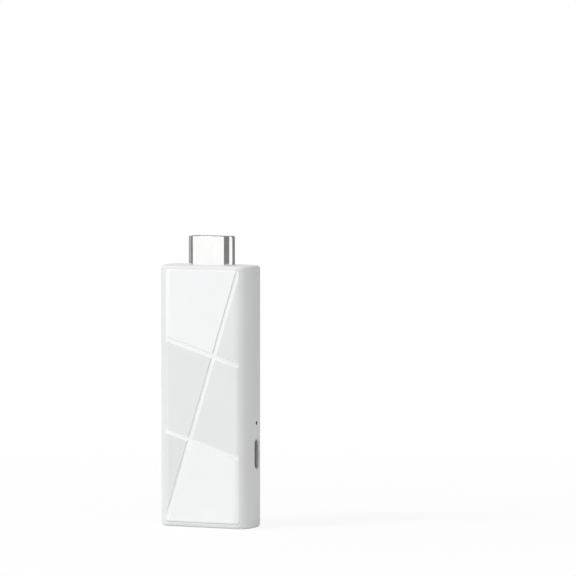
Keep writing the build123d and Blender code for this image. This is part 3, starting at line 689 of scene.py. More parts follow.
def cover_finish(casing, cover):
    """The cover's white, with painted shade that darkens its four facets between the grooves."""
    material, tree, shader, place = moulded_white("cover_white", cover.colour)
    turned = node(tree, "ShaderNodeMapping", {
        "Vector": place, "Location": (0, 0, -casing.height / 2),
    }).outputs["Vector"]
    turned = node(tree, "ShaderNodeVectorRotate", {
        "Vector": turned, "Axis": (0, 1, 0), "Angle": -cover.pattern_turn,
    }, rotation_type="AXIS_ANGLE").outputs["Vector"]
    across, along = axis(tree, turned, "X"), axis(tree, turned, "Z")
    half = cover.long_groove / 2
    cross = cover.cross_groove / 2
    upper_middle = cover.cross_offset - cover.cross_drop
    lower_middle = -cover.cross_offset - cover.cross_drop
    right = maths(tree, "GREATER_THAN", across, half)
    left = maths(tree, "LESS_THAN", across, -half)
    upper = maths(tree, "GREATER_THAN", along, upper_middle + cross)
    lower = maths(tree, "LESS_THAN", along, lower_middle - cross)
    below_upper = maths(tree, "LESS_THAN", along, upper_middle - cross)
    above_lower = maths(tree, "GREATER_THAN", along, lower_middle + cross)
    middle = product(tree, below_upper, above_lower)
    share = 1.0
    # Painted shade: each facet's colour is scaled down, standing in for the facet turning from the light
    for side, band, shade in (
        (right, upper, UPPER_RIGHT_PAINTED_SHADE),
        (left, middle, MIDDLE_LEFT_PAINTED_SHADE),
        (right, middle, MIDDLE_RIGHT_PAINTED_SHADE),
        (left, lower, LOWER_LEFT_PAINTED_SHADE),
    ):
        share = maths(tree, "SUBTRACT", share, product(tree, side, band, shade))
    darken(tree, shader, share)
    return material


def tracks(tree, place, run_axis, pitch_axis):
    """1 on copper runs along one axis, in rows along the other, each stretch there or not by chance."""
    density = [0, 0, 0]
    density["XYZ".index(run_axis)] = 1 / (TRACK_PITCH * TRACK_LENGTH)
    density["XYZ".index(pitch_axis)] = 1 / TRACK_PITCH
    cells = vectors(tree, "MULTIPLY", place, density)
    cell = node(tree, "ShaderNodeVectorMath", {0: cells}, operation="FLOOR").outputs["Vector"]
    draw = node(tree, "ShaderNodeTexWhiteNoise", {"Vector": cell}).outputs["Value"]
    inside = node(tree, "ShaderNodeVectorMath", {0: cells}, operation="FRACTION").outputs["Vector"]
    middle = node(tree, "ShaderNodeMath", {
        0: axis(tree, inside, pitch_axis), 1: 0.5, 2: TRACK_SHARE / 2,
    }, operation="COMPARE").outputs["Value"]
    return product(tree, middle, maths(tree, "LESS_THAN", draw, TRACK_CHANCE))


def printed(name, mask, track, roughness=0.35):
    """Coated film or board whose copper runs show through as straight lines in both directions."""
    material, tree, shader, place = blank_material(name)
    lines = maths(tree, "MAXIMUM", tracks(tree, place, "Z", "X"), tracks(tree, place, "X", "Z"))
    clouds = grain(tree, place, MATT_CLOUDS)
    both = node(tree, "ShaderNodeMix", {
        "Factor": lines,
        "A": tint(tree, mask, clouds, 0.94, 1.06),
        "B": tint(tree, track, clouds, 0.94, 1.06),
    }, data_type="RGBA")
    rough = swing(tree, clouds, roughness - 0.05, roughness + 0.05)
    surface(tree, shader, both.outputs["Result"], rough, relief(tree, lines, 0.3, TRACK_DEPTH))
    return material


def metal(name, base, roughness, marks=4000, stretch=(1, 1, 1), change=0.05):
    """Bare metal with fine marks of its forming, which change its roughness."""
    material, tree, shader, place = blank_material(name)
    fine = grain(tree, place, marks, stretch)
    tone = tint(tree, base, grain(tree, place, METAL_CLOUDS), 0.96, 1.03)
    rough = swing(tree, fine, roughness - change, roughness + change)
    surface(tree, shader, tone, rough, relief(tree, fine, 0.1, METAL_DEPTH))
    shader.inputs["Metallic"].default_value = 1
    return material


def matt(name, base, roughness):
    """Moulded, ceramic or rubbery stuff with a fine grain."""
    material, tree, shader, place = blank_material(name)
    fine = grain(tree, place, MATT_GRAIN)
    tone = tint(tree, base, grain(tree, place, MATT_CLOUDS), 0.94, 1.06)
    rough = swing(tree, fine, roughness - 0.06, roughness + 0.06)
    surface(tree, shader, tone, rough, relief(tree, fine, 0.25, MOULD_DEPTH))
    return material


# How each material slot is finished: kind of stuff, colours and roughness, and the marks on metal
RECIPES = {
    "socket_metal": (metal, (0.93, 0.93, 0.92), 0.6),
    "tinned_sheet": (metal, (0.66, 0.66, 0.64), 0.34, 1500),
    "spring_steel": (metal, (0.58, 0.57, 0.55), 0.25),
    "contact_gold": (metal, (0.86, 0.66, 0.30), 0.2),
    "black_insulator": (matt, (0.02, 0.02, 0.021), 0.5),
    "dark_plunger": (matt, (0.035, 0.035, 0.037), 0.45),
    "board_green": (printed, (0.012, 0.10, 0.035), (0.035, 0.19, 0.07)),
    "module_blue": (printed, (0.01, 0.04, 0.13), (0.02, 0.09, 0.24)),
    "chip_black": (matt, (0.016, 0.016, 0.017), 0.6),
    "thermal_pad": (matt, (0.28, 0.31, 0.36), 0.7),
    "spreader_aluminium": (metal, (0.74, 0.75, 0.76), 0.36, 900, (1, 1, 12), 0.1),
    "antenna_film": (printed, (0.05, 0.035, 0.02), (0.25, 0.12, 0.05), 0.4),
    "cable_jacket": (matt, (0.03, 0.03, 0.03), 0.5),
    "capacitor_tan": (matt, (0.40, 0.28, 0.17), 0.4),
    "resistor_black": (matt, (0.02, 0.02, 0.022), 0.35),
    "inductor_grey": (matt, (0.09, 0.09, 0.095), 0.6),
    "screw_steel": (metal, (0.45, 0.45, 0.46), 0.3),
}
# Finishes that are made so far, by slot
finishes = {}


def finish(name):
    """The finish of a material slot, made at its first use."""
    if name not in finishes:
        kind, *values = RECIPES[name]
        finishes[name] = kind(name, *values)
    return finishes[name]


# Steps


class DONGLE_OT_stage(bpy.types.Operator):
    """Sets up the floor, the lamps, the world and the camera"""

    bl_idname = "dongle.stage"
    bl_label = "Stage"

    def execute(self, context):
        stage = context.scene.dongle_stage
        self.floor()
        self.cards()
        self.canopy()
        self.lamp("key_lamp", KEY_PLACE, KEY_SIZE, stage.key_power)
        self.lamp("top_lamp", TOP_PLACE, TOP_SIZE, stage.top_power)
        self.world(stage)
        self.camera(context, stage)
        return {"FINISHED"}

    def floor(self):
        """Pale floor that keeps the shadow and that camera, mirror and glass rays see as white."""
        mesh = bmesh.new()
        bmesh.ops.create_grid(mesh, x_segments=1, y_segments=1, size=FLOOR_HALF)
        floor = new_object("floor", mesh)
        tree = self.empty_material(floor, "floor_white")
        place = node(tree, "ShaderNodeTexCoord").outputs["Object"]
        reach = node(tree, "ShaderNodeVectorMath", {0: place}, operation="LENGTH").outputs["Value"]
        fade = spread(tree, reach, *SHADOW_REACH, SHADOW_SHARE, 1.0)
        tone = tint(tree, [FLOOR_TONE] * 3, grain(tree, place, FLOOR_GRAIN), 0.99, 1.01)
        paper = node(tree, "ShaderNodeBsdfDiffuse", {"Color": tone})
        glow = node(tree, "ShaderNodeEmission", {"Color": (1, 1, 1, 1), "Strength": 1.0})
        mix = node(tree, "ShaderNodeMixShader", {
            "Fac": product(tree, fade, self.seen_rays(tree)),
            1: paper.outputs["BSDF"],
            2: glow.outputs["Emission"],
        })
        node(tree, "ShaderNodeOutputMaterial", {"Surface": mix.outputs["Shader"]})

    def empty_material(self, piece, name):
        """Gives a piece a material without nodes and returns its tree."""
        material = bpy.data.materials.new(name)
        material.use_nodes = True
        material.node_tree.nodes.clear()
        piece.data.materials.append(material)
        return material.node_tree

    def seen_rays(self, tree):
        """1 for the rays that show a background: camera, mirror and glass rays."""
        path = node(tree, "ShaderNodeLightPath").outputs
        seen = maths(tree, "MAXIMUM", path["Is Camera Ray"], path["Is Glossy Ray"])
        return maths(tree, "MAXIMUM", seen, path["Is Transmission Ray"])

    def cards(self):
        """Grey studio cards that only polished metal shows."""
        for name, first, last, tone in CARDS:
            mesh = bmesh.new()
            previous = None
            for step in range(CARD_STEPS + 1):
                turn = math.radians(first + (last - first) * step / CARD_STEPS)
                x, y = CARD_DISTANCE * math.sin(turn), -CARD_DISTANCE * math.cos(turn)
                column = [mesh.verts.new((x, y, height)) for height in CARD_HEIGHTS]
                if previous:
                    mesh.faces.new((previous[0], column[0], column[1], previous[1]))
                previous = column
            self.card(new_object(name, mesh), tone)

    def canopy(self):
        """A grey card overhead, which darkens the rim of the plug."""
        mesh = bmesh.new()
        bmesh.ops.create_grid(mesh, x_segments=1, y_segments=1, size=CANOPY_HALF)
        bmesh.ops.translate(mesh, verts=mesh.verts, vec=(0, 0, CANOPY_HEIGHT))
        self.card(new_object("card_above", mesh), CANOPY_TONE)

    def card(self, card, tone):
        """Gives a card its tone and hides it from all but mirror rays."""
        card.visible_camera = False
        card.visible_diffuse = False
        card.visible_shadow = False
        card.visible_transmission = False
        tree = self.empty_material(card, card.name)
        glow = node(tree, "ShaderNodeEmission", {"Color": (tone, tone, tone, 1), "Strength": 1.0})
        node(tree, "ShaderNodeOutputMaterial", {"Surface": glow.outputs["Emission"]})

    def lamp(self, name, place, size, power):
        """A square soft lamp that faces the object."""
        data = bpy.data.lights.new(name, "AREA")
        data.shape = "SQUARE"
        data.size = size
        data.energy = power
        data.specular_factor = LAMP_SHINE
        lamp = bpy.data.objects.new(name, data)
        bpy.context.scene.collection.objects.link(lamp)
        lamp.location = place
        aim = Vector(LAMP_TARGET) - lamp.location
        lamp.rotation_euler = aim.to_track_quat("-Z", "Y").to_euler()

    def world(self, stage):
        """Even light all round, seen as white by camera, mirror and glass rays."""
        world = bpy.data.worlds.new("studio")
        bpy.context.scene.world = world
        world.use_nodes = True
        tree = world.node_tree
        tree.nodes.clear()
        side = axis(tree, node(tree, "ShaderNodeTexCoord").outputs["Generated"], "X")
        left, right = stage.ambient * (1 + stage.side_fall), stage.ambient * (1 - stage.side_fall)
        fill = spread(tree, side, -1, 1, left, right)
        strength = node(tree, "ShaderNodeMix", {
            "Factor": self.seen_rays(tree), "A": fill, "B": 1.0,
        }).outputs["Result"]
        back = node(tree, "ShaderNodeBackground", {"Color": (1, 1, 1, 1), "Strength": strength})
        node(tree, "ShaderNodeOutputWorld", {"Surface": back.outputs["Background"]})

    def camera(self, context, stage):
        """The camera stands at the photograph's viewing angle and looks past the object, as there."""
        turn, rise = stage.camera_turn, stage.camera_rise
        back = Vector((math.sin(turn) * math.cos(rise), -math.cos(turn) * math.cos(rise), math.sin(rise)))
        right = Vector((math.cos(turn), math.sin(turn), 0))
        up = back.cross(right)
        target = Vector((0, 0, TARGET_HEIGHT))
        focal = stage.lens / SENSOR * PHOTO_SIZE
        aside = math.atan((PHOTO_SIZE / 2 - TARGET_PIXEL[0]) / focal)
        lift = math.atan((TARGET_PIXEL[1] - PHOTO_SIZE / 2) / focal)
        facing = Matrix((right, up, back)).transposed()
        facing = facing @ Matrix.Rotation(-aside, 3, "Y") @ Matrix.Rotation(lift, 3, "X")
        facing = facing @ Matrix.Rotation(stage.camera_roll, 3, "Z")
        data = bpy.data.cameras.new("camera")
        data.sensor_width = SENSOR
        data.lens = stage.lens
        data.clip_end = CLIP_END
        camera = bpy.data.objects.new("camera", data)
        context.scene.collection.objects.link(camera)
        camera.matrix_world = Matrix.Translation(target + back * stage.camera_distance) @ facing.to_4x4()
        context.scene.camera = camera
        context.scene.view_settings.view_transform = "Standard"


class DONGLE_OT_casing(bpy.types.Operator):
    """Moulds the rear shell with its openings, ribs and bosses"""

    bl_idname = "dongle.casing"
    bl_label = "Casing"

    def execute(self, context):
        casing = context.scene.dongle_casing
        piece = new_object("casing_moulding", self.skin(casing))
        carve(piece, [self.cavity(casing)])
        carve(piece, self.supports(casing), "UNION")
        carve(piece, self.openings(context, casing))
        soften(piece, casing.edge_round)
        dress(piece, self.white(casing), "casing_white", "casing", "rear_shell")
        return {"FINISHED"}

    def white(self, casing):
        """The casing's white, with painted shade on the wall inside the pinhole."""
        material, tree, shader, place = moulded_white("casing_white", casing.colour)
        middle = (PLUNGER_LOW + PLUNGER_HIGH) / 2
        beside = vectors(tree, "MULTIPLY", place, (0, 1, 1))
        away = node(tree, "ShaderNodeVectorMath", {
            0: beside, 1: (0, middle.y, middle.z),
        }, operation="DISTANCE").outputs["Value"]
        near = maths(tree, "LESS_THAN", away, PINHOLE_SHARE * casing.pinhole)
        inner_end = casing.width / 2 - PINHOLE_DEPTH_SHARE * casing.wall
        outer = maths(tree, "GREATER_THAN", axis(tree, place, "X"), inner_end)
        # Painted shade: the pinhole's wall is darkened, standing in for the shade deep in the hole
        darken(tree, shader, spread(tree, product(tree, near, outer), 0, 1, 1, PINHOLE_PAINTED_SHADE))
        return material

    def skin(self, casing):
        """The outside of the shell, with its rounded ends."""
        rings = []
        turns = [math.pi / 2 * step / SKIN_STEPS for step in range(SKIN_STEPS + 1)]
        for upper in (False, True):
            for turn in reversed(turns) if upper else turns:
                inset = casing.end_round * (1 - math.sin(turn))
                rise = casing.end_round * (1 - math.cos(turn))
                outline = rounded_outline(
                    casing.width - 2 * inset, casing.depth - 2 * inset,
                    casing.corner_radius - inset, SKIN_CORNER_STEPS,
                )
                height = casing.height - rise if upper else rise
                rings.append([Vector((x, y, height)) for x, y in outline])
        return loft(rings)

    def cavity(self, casing):
        """The hollow inside the walls."""
        wall = casing.wall
        outline = rounded_outline(
            casing.width - 2 * wall, casing.depth - 2 * wall,
            casing.corner_radius - wall, CAVITY_CORNER_STEPS,
        )
        return prism(outline, wall, casing.height - wall, along_z)

    def supports(self, casing):
        """Seats under the cover, bosses, posts and the saddle behind the plug."""
        inner_side = casing.width / 2 - casing.wall
        seat_width = inner_side - (casing.width / 2 - casing.side_border - SEAT_OVERLAP)
        seats = [
            shifted(rectangle(seat_width, SEAT_LENGTH), side * (inner_side - seat_width / 2), height)
            for height in SEAT_HEIGHTS for side in (-1, 1)
        ]
        end_length = SEAT_OVERLAP + casing.wall
        end_place = casing.end_border + SEAT_OVERLAP - end_length / 2
        seats += [
            shifted(rectangle(END_SEAT_LENGTH, end_length), 0, height)
            for height in (end_place, casing.height - end_place)
        ]
        seat_top = COVER_LOW.y + COVER_PROUD + COVER_PLATE
        solids = [prism(seat, seat_top, seat_top + SEAT_THICKNESS, along_y) for seat in seats]
        root = (casing.depth - casing.wall) / 2
        pillars = [(place, casing.boss_diameter) for place in SCREW_PLACES]
        pillars += [(place, casing.post_diameter) for place in POST_PLACES]
        for place, diameter in pillars:
            solids.append(prism(shifted(circle(diameter), *place), BOARD_HIGH.y, root, along_y))
        saddle = shifted(
            rectangle(casing.saddle_width, casing.saddle_thickness), 0, casing.height - casing.saddle_drop
        )
        solids.append(prism(saddle, PLUG_HIGH.y + SADDLE_GAP, root, along_y))
        return solids

    def openings(self, context, casing):
        """Openings for the cover, the plug, the power socket and the pin, and the holes in the bosses."""
        plug = context.scene.dongle_plug
        wall = casing.wall
        deep = casing.corner_radius - math.sqrt(
            (casing.corner_radius - wall) ** 2 - (casing.corner_radius - casing.side_border) ** 2
        )
        front = rounded_outline(
            casing.width - 2 * casing.side_border, casing.height - 2 * casing.end_border,
            casing.opening_corner, OPENING_CORNER_STEPS,
        )
        front = shifted(front, 0, casing.height / 2 + casing.opening_rise)
        slot_depth = SOCKET_HIGH.y - SOCKET_LOW.y + 2 * casing.slot_gap
        slot_length = SOCKET_SPAN + 2 * casing.slot_gap
        slot = rounded_outline(slot_depth, slot_length, slot_depth * SLOT_ROUND_SHARE, SLOT_CORNER_STEPS)
        slot = shifted(slot, (SOCKET_LOW.y + SOCKET_HIGH.y) / 2, (SOCKET_LOW.z + SOCKET_HIGH.z) / 2)
        plunger = (PLUNGER_LOW + PLUNGER_HIGH) / 2
        pin = shifted(circle(casing.pinhole), plunger.y, plunger.z)
        side = casing.width / 2
        mouth = plug_outline(plug, -plug.wall_gap)
        cutters = [
            prism(front, -casing.depth, deep - casing.depth / 2, along_y),
            prism(mouth, casing.height - 2 * wall, casing.height + wall, along_z),
            prism(slot, side - THROUGH_WALL * wall, side + wall, along_x),
            prism(pin, side - THROUGH_WALL * wall, side + wall, along_x),
        ]
        for place in SCREW_PLACES:
            hole = shifted(circle(casing.pilot_diameter), *place)
            cutters.append(prism(hole, BOARD_HIGH.y - wall, BOARD_HIGH.y + casing.pilot_depth, along_y))
        return cutters


def plug_outline(plug, inset):
    """Cross-section of the video plug, moved inwards by inset."""
    wide = (PLUG_HIGH.x - PLUG_LOW.x) / 2
    narrow = plug.front_width / 2
    low, high = PLUG_LOW.y, PLUG_HIGH.y
    return rounded_polygon([
        (wide, high, plug.back_round),
        (-wide, high, plug.back_round),
        (-wide, low + plug.cut_depth, plug.side_round),
        (-narrow, low, plug.cut_round),
        (narrow, low, plug.cut_round),
        (wide, low + plug.cut_depth, plug.side_round),
    ], PLUG_CORNER_STEPS, inset)


class DONGLE_OT_cover(bpy.types.Operator):
    """Moulds the front cover with its grooves and facets"""

    bl_idname = "dongle.cover"
    bl_label = "Cover"

    def execute(self, context):
        casing = context.scene.dongle_casing
        cover = context.scene.dongle_cover
        width = casing.width - 2 * casing.side_border - 2 * cover.gap
        height = casing.height - 2 * casing.end_border - cover.gap - cover.lower_gap
        middle = casing.height / 2 + casing.opening_rise + (cover.lower_gap - cover.gap) / 2
        piece = new_object("cover_moulding", self.slab(casing, cover, width))
        trim = rounded_outline(width, height, casing.opening_corner - cover.gap, OPENING_CORNER_STEPS)
        carve(piece, [prism(shifted(trim, 0, middle), -casing.depth, 0, along_y)], "INTERSECT")
        carve(piece, self.bevels(casing, cover, middle, height))
        carve(piece, self.pattern(casing, cover))
        carve(piece, self.fixings(casing, cover, width), "UNION")
        soften(piece, cover.edge_round, segments=3)
        dress(piece, cover_finish(casing, cover), "cover_white", "casing", "front_cover")
        return {"FINISHED"}

    def slab(self, casing, cover, width):
        """A plate that follows the casing's front a little outside it, longer than the cover."""
        radius = casing.corner_radius + cover.proud
        flat = cover.flat_width / 2
        middle = -casing.depth / 2 + casing.corner_radius
        back = -casing.depth / 2 + cover.thickness
        reach = math.asin((width / 2 * SLAB_SPARE - flat) / radius)
        front = []
        for step in range(SLAB_STEPS + 1):
            turn = -reach * (1 - step / SLAB_STEPS)
            front.append((-flat + radius * math.sin(turn), middle - radius * math.cos(turn)))
        front += [(-x, y) for x, y in reversed(front)]
        outline = front + [(front[-1][0], back), (front[0][0], back)]
        return prism(outline, 0, casing.height, along_z)

    def bevels(self, casing, cover, middle, height):
        """Wedges that take the upper and the lower front edge off."""
        front = -casing.depth / 2 - cover.proud
        wedges = []
        for side in (-1, 1):
            edge = middle + side * height / 2
            corners = [
                (front - cover.bevel_depth, edge + side * cover.bevel_height),
                (front - cover.bevel_depth, edge - side * 2 * cover.bevel_height),
                (front + 2 * cover.bevel_depth, edge + side * cover.bevel_height),
            ]
            wedges.append(prism(corners, -casing.width, casing.width, along_x))
        return wedges

    def fixings(self, casing, cover, width):
        """Hooks that catch behind the opening's lips, and posts that press the heat spreader."""
        inside = -casing.depth / 2 + cover.thickness
        outer = width / 2 - HOOK_INSET
        inner = outer - HOOK_THICKNESS
        root = inside - ROOT_SHARE * cover.thickness
        solids = []
        hook = (
            (inner, root), (outer, root),
            (outer, inside + BARB_DROP), (outer + HOOK_BARB, inside + BARB_DROP),
            (outer, inside + HOOK_REACH), (inner, inside + HOOK_REACH),
        )
        for side in (-1, 1):
            profile = [(side * x, y) for x, y in hook]
            for height in HOOK_HEIGHTS:
                solids.append(prism(profile, height - HOOK_LENGTH / 2, height + HOOK_LENGTH / 2, along_z))
        middle = (SPREADER_LOW + SPREADER_HIGH) / 2
        for across, along in ((-1, -1), (-1, 1), (1, -1), (1, 1)):
            x = middle.x + across * PRESS_SPREAD[0] / 2
            z = middle.z + along * PRESS_SPREAD[1] / 2
            solids.append(prism(shifted(circle(PRESS_DIAMETER), x, z), root, SPREADER_LOW.y, along_y))
        return solids

    def pattern(self, casing, cover):
        """Cutters for the facets and the grooves."""
        turn = cover.pattern_turn
        across = Vector((math.cos(turn), 0, -math.sin(turn)))
        along = Vector((math.sin(turn), 0, math.cos(turn)))
        middle = Vector((0, -casing.depth / 2 - cover.proud, casing.height / 2))
        reach = casing.height
        upper = cover.cross_offset - cover.cross_drop
        lower = -cover.cross_offset - cover.cross_drop

        def bar(shape, centre, side, run, start):
            """A long bar of one cross-section that lies on the cover."""
            return loft([
                [centre + side * u + Vector((0, v, 0)) + run * w for u, v in shape]
                for w in (start, reach)
            ])

        def groove(width, draft, centre, side, run):
            """Cutter of a groove whose walls lean outwards."""
            floor = width / 2 - draft
            brim = width / 2 + draft / cover.groove_depth * CUTTER_RISE
            deep = cover.groove_depth
            shape = ((-floor, deep), (floor, deep), (brim, -CUTTER_RISE), (-brim, -CUTTER_RISE))
            return bar(shape, centre, side, run, -reach)

        def facet(side, run, start):
            """Cutter of a facet that falls away from the long groove."""
            slope = math.tan(cover.facet_slope)
            inner = cover.long_groove / 2
            outer = casing.width
            shape = (
                (0, -inner * slope), (outer, (outer - inner) * slope),
                (outer, -CUTTER_RISE), (0, -CUTTER_RISE),
            )
            return bar(shape, middle, side, run, start)

        return (
            facet(across, along, lower), facet(-across, -along, -upper),
            groove(cover.long_groove, cover.long_draft, middle, across, along),
            groove(cover.cross_groove, cover.cross_draft, middle + along * upper, along, across),
            groove(cover.cross_groove, cover.cross_draft, middle + along * lower, along, across),
        )


class DONGLE_OT_video_plug(bpy.types.Operator):
    """Forms the polished shell of the video plug"""

    bl_idname = "dongle.video_plug"
    bl_label = "Video plug"

    def execute(self, context):
        plug = context.scene.dongle_plug
        piece = new_object("plug_sheath", self.sheath(context, plug))
        carve(piece, self.legs(context, plug), "UNION")
        smooth(piece)
        polish = metal("plug_metal", plug.colour, 0.1, change=0.03)
        dress(piece, polish, "plug_metal", "casing", "video_plug_shell")
        return {"FINISHED"}

    def sheath(self, context, plug):
        """Tube of sheet metal whose rim is rounded and whose mouth falls away at its corners."""
        foot = context.scene.dongle_casing.height - plug.inside
        flat = (PLUG_HIGH.x - PLUG_LOW.x) / 2 - plug.mouth_round

        def level_ring(inset, level):
            """Outline of the tube at one height."""
            return [Vector((x, y, level)) for x, y in plug_outline(plug, inset)]

        def rim_ring(inset, drop):
            """Outline of the tube a little below the mouth, which falls away at its corners."""
            points = []
            for x, y in plug_outline(plug, inset):
                over = min(max(abs(x) - flat, 0), plug.mouth_round)
                fall = plug.mouth_round - math.sqrt(plug.mouth_round ** 2 - over ** 2)
                points.append(Vector((x, y, PLUG_HIGH.z - min(fall, plug.mouth_fall) - drop)))
            return points

        rings = [level_ring(0, foot), rim_ring(0, plug.rim_start)]
        for step in range(RIM_STEPS + 1):
            turn = math.pi / 2 * step / RIM_STEPS
            inset, drop = (plug.lead_in * (1 - part) for part in (math.cos(turn), math.sin(turn)))
            rings.append(rim_ring(inset, drop))
        rings.append(rim_ring(plug.sheet - plug.rim_edge, 0))
        rings.append(rim_ring(plug.sheet, plug.rim_edge))
        rings.append(level_ring(plug.sheet, foot))
        return loft(rings, tube=True)

    def legs(self, context, plug):
        """Two legs that straddle the board."""
        foot = context.scene.dongle_casing.height - plug.inside
        shapes = []
        for side in (-1, 1):
            leg = shifted(rectangle(plug.sheet, plug.leg_depth), side * (PLUG_HIGH.x - plug.sheet / 2), 0)
            shapes.append(prism(leg, PLUG_LOW.z, foot + plug.leg_overlap, along_z))
        return shapes


class DONGLE_OT_contacts(bpy.types.Operator):
    """Bends the strip contacts of the video plug and the power socket"""

    bl_idname = "dongle.contacts"
    bl_label = "Contacts"

    def execute(self, context):
        tree = row_tree()
        gold = finish("contact_gold")
        foot = context.scene.dongle_casing.height - context.scene.dongle_plug.inside
        for end, side in (("back", 1), ("front", -1)):
            low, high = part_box(f"video_plug_contacts_{end}")
            outline = self.plug_strip(low, high, side, foot)
            strip = prism(outline, low.x, low.x + PLUG_CONTACT_WIDTH, along_x)
            pitch = (PLUG_CONTACT_PITCH, 0, 0)
            self.row(strip, tree, gold, f"video_plug_contacts_{end}", PLUG_CONTACTS[end], pitch)
        for end, side in (("back", 1), ("front", -1)):
            low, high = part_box(f"power_socket_contacts_{end}")
            outline = self.socket_strip(low, high, side)
            strip = prism(outline, low.z, low.z + SOCKET_CONTACT_WIDTH, along_z)
            pitch = (0, 0, SOCKET_CONTACT_PITCH)
            self.row(strip, tree, gold, f"power_socket_contacts_{end}", SOCKET_CONTACTS, pitch)
        return {"FINISHED"}

    def row(self, strip, tree, gold, name, count, pitch):
        """Repeats one strip into its row."""
        piece = new_object(name.replace("contacts", "strips"), strip)
        soften(piece, CONTACT_EDGE)
        repeat(piece, tree, count=count, pitch=pitch, rows=1, body_finish=gold, metal_finish=gold)
        dress(piece, None, "contact_gold", "casing", name)

    def plug_strip(self, low, high, side, foot):
        """Side view of a plug contact: a spring arm in the mouth and a tail on the board."""
        outer = high.y if side > 0 else low.y
        wall = outer - side * PLUG_CONTACT_SHEET
        board = BOARD_HIGH.y if side > 0 else BOARD_LOW.y
        tail = board + side * PLUG_CONTACT_SHEET
        jog = foot - PLUG_CONTACT_SHEET
        return [
            (wall, high.z), (outer, high.z), (outer, jog), (tail, jog),
            (tail, low.z), (board, low.z), (board, foot), (wall, foot),
        ]

    def socket_strip(self, low, high, side):
        """Top view of a socket contact: a strip on the tongue, a riser and a tail on the board."""
        middle = (SOCKET_LOW.y + SOCKET_HIGH.y) / 2
        outer = middle + side * TONGUE_HALF
        strip = sorted((outer, outer - side * SOCKET_CONTACT_SHEET))
        board = BOARD_HIGH.y if side > 0 else BOARD_LOW.y
        tail = sorted((board, board + side * SOCKET_CONTACT_SHEET))
        riser = SOCKET_LOW.x - 2 * SOCKET_CONTACT_SHEET
        bend = riser - SOCKET_CONTACT_SHEET
        return [
            (high.x, strip[1]), (bend, strip[1]), (bend, tail[1]), (low.x, tail[1]), (low.x, tail[0]),
            (riser, tail[0]), (riser, strip[0]), (high.x, strip[0]),
        ]


class DONGLE_OT_small_parts(bpy.types.Operator):
    """Sets the rows of small parts on the board, each with its soldered metal ends"""

    bl_idname = "dongle.small_parts"
    bl_label = "Small parts"

    def execute(self, context):
        tree = row_tree()
        tin, tan = finish("tinned_sheet"), finish("capacitor_tan")
        black, epoxy = finish("resistor_black"), finish("chip_black")
        low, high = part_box("front_capacitors")
        upper = (low.x, low.y, high.z - CAPACITOR.z)
        lower = (high.x - CAPACITOR.x - (LOWER_CAPACITORS - 1) * FRONT_PITCH, low.y, low.z)
        rows = [
            self.row(tree, CAPACITOR, corner, "z", count, FRONT_PITCH, tan, tin)
            for corner, count in ((upper, UPPER_CAPACITORS), (lower, LOWER_CAPACITORS))
        ]
        dress(join("front_chip_capacitors", rows), None, "capacitor_tan", "casing", "front_capacitors")
        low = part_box("back_capacitors")[0]
        piece = self.row(
            tree, CAPACITOR, low, "z", BACK_CAPACITORS, BACK_PITCH, tan, tin, BACK_ROWS, BACK_ROW_PITCH
        )
        piece.name = "back_chip_capacitors"
        dress(piece, None, "capacitor_tan", "casing", "back_capacitors")
        for face, count in RESISTORS.items():
            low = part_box(f"{face}_resistors")[0]
            piece = self.row(tree, RESISTOR, low, "z", count, RESISTOR_PITCH, black, tin)
            piece.name = f"{face}_chip_resistors"
            dress(piece, None, "resistor_black", "casing", f"{face}_resistors")
        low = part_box("surge_protectors")[0]
        piece = self.row(tree, SURGE_PROTECTOR, low, "x", SURGE_PROTECTORS, SURGE_PITCH, epoxy, tin)
        piece.name = "surge_protector_chips"
        dress(piece, None, "chip_black", "casing", "surge_protectors")
        return {"FINISHED"}

    def row(self, tree, size, corner, way, count, pitch, body, ends, rows=1, row_pitch=0.0):
        """A row of ceramic blocks with metal ends; corner is the lowest corner of the first."""
        mesh = bmesh.new()
        middle = Vector(corner) + size / 2
        along = Vector((1, 0, 0)) if way == "x" else Vector((0, 0, 1))
        reach = abs(along.dot(size))
        end = END_SHARE * reach
        inset = Vector((1, 1, 1)) * 2 * END_PROUD
        block(mesh, middle, size - inset)
        end_size = size - along * (reach - end)
        for side in (-1, 1):
            block(mesh, middle + along * side * (reach - end) / 2, end_size, metal=True)
        piece = new_object("chip_row", mesh)
        soften(piece, CHIP_EDGE)
        mark_metal(piece)
        return repeat(
            piece, tree, count=count, pitch=(pitch, 0, 0), rows=rows, row_pitch=(0, 0, row_pitch),
            body_finish=body, metal_finish=ends,
        )


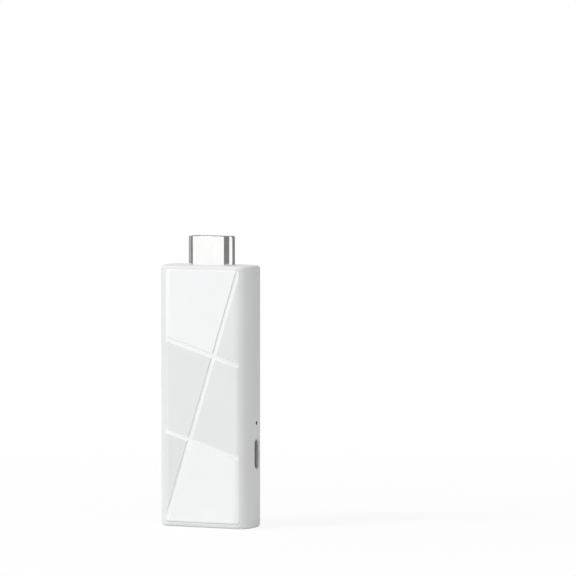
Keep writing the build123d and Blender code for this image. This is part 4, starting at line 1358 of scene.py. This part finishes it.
class DONGLE_OT_reset_dome(bpy.types.Operator):
    """Bends the spring dome of the reset switch, which gives way under the plunger"""

    bl_idname = "dongle.reset_dome"
    bl_label = "Reset dome"

    def execute(self, context):
        low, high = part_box("reset_switch_dome")
        rise, half = high.x - low.x, (high.z - low.z) / 2
        middle = (low.z + high.z) / 2
        outline = self.arc(low.x, middle, rise, half)
        outline += reversed(self.arc(low.x, middle, rise - DOME_SHEET, half - 2 * DOME_SHEET))
        piece = new_object("reset_spring_dome", prism(outline, low.y, high.y, along_y))
        smooth(piece)
        dress(piece, finish("spring_steel"), "spring_steel", "casing", "reset_switch_dome")
        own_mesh(piece)
        return {"FINISHED"}

    def arc(self, foot, middle, rise, half):
        """Points of the arc that stands rise above its two feet, from the lower foot to the upper."""
        radius = (rise ** 2 + half ** 2) / (2 * rise)
        reach = math.pi - math.asin(half / radius) if rise > half else math.asin(half / radius)
        centre = foot + rise - radius
        turns = [reach * (2 * step / DOME_STEPS - 1) for step in range(DOME_STEPS + 1)]
        return [(centre + radius * math.cos(turn), middle + radius * math.sin(turn)) for turn in turns]


class DONGLE_OT_finishes(bpy.types.Operator):
    """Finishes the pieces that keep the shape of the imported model"""

    bl_idname = "dongle.finishes"
    bl_label = "Finishes"

    def execute(self, context):
        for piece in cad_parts.values():
            for slot in piece.material_slots:
                name = slot.material.name.split(".")[0]
                if name in RECIPES:
                    slot.material = finish(name)
        return {"FINISHED"}


class DONGLE_PT_panel(bpy.types.Panel):
    """Lists the steps that dress the dongle"""

    bl_idname = "DONGLE_PT_panel"
    bl_label = "Wireless display dongle"
    bl_space_type = "VIEW_3D"
    bl_region_type = "UI"
    bl_category = "Dongle"

    def draw(self, context):
        for step in STEPS:
            self.layout.operator(step.bl_idname)
        for name in SETTINGS:
            group = getattr(context.scene, name)
            box = self.layout.box()
            for key in group.bl_rna.properties.keys():
                if key not in {"rna_type", "name"}:
                    box.prop(group, key)


STEPS = (
    DONGLE_OT_stage, DONGLE_OT_casing, DONGLE_OT_cover, DONGLE_OT_video_plug, DONGLE_OT_contacts,
    DONGLE_OT_small_parts, DONGLE_OT_reset_dome, DONGLE_OT_finishes,
)
SETTINGS = {
    "dongle_casing": CasingSettings, "dongle_cover": CoverSettings, "dongle_plug": PlugSettings,
    "dongle_stage": StageSettings,
}


def register():
    for name, group in SETTINGS.items():
        bpy.utils.register_class(group)
        setattr(bpy.types.Scene, name, bpy.props.PointerProperty(type=group))
    for step in STEPS:
        bpy.utils.register_class(step)
    bpy.utils.register_class(DONGLE_PT_panel)


def unregister():
    bpy.utils.unregister_class(DONGLE_PT_panel)
    for step in reversed(STEPS):
        bpy.utils.unregister_class(step)
    for name, group in SETTINGS.items():
        delattr(bpy.types.Scene, name)
        bpy.utils.unregister_class(group)


def main():
    register()
    for step in STEPS:
        group, action = step.bl_idname.split(".")
        getattr(getattr(bpy.ops, group), action)()


if __name__ == "__main__":
    main()
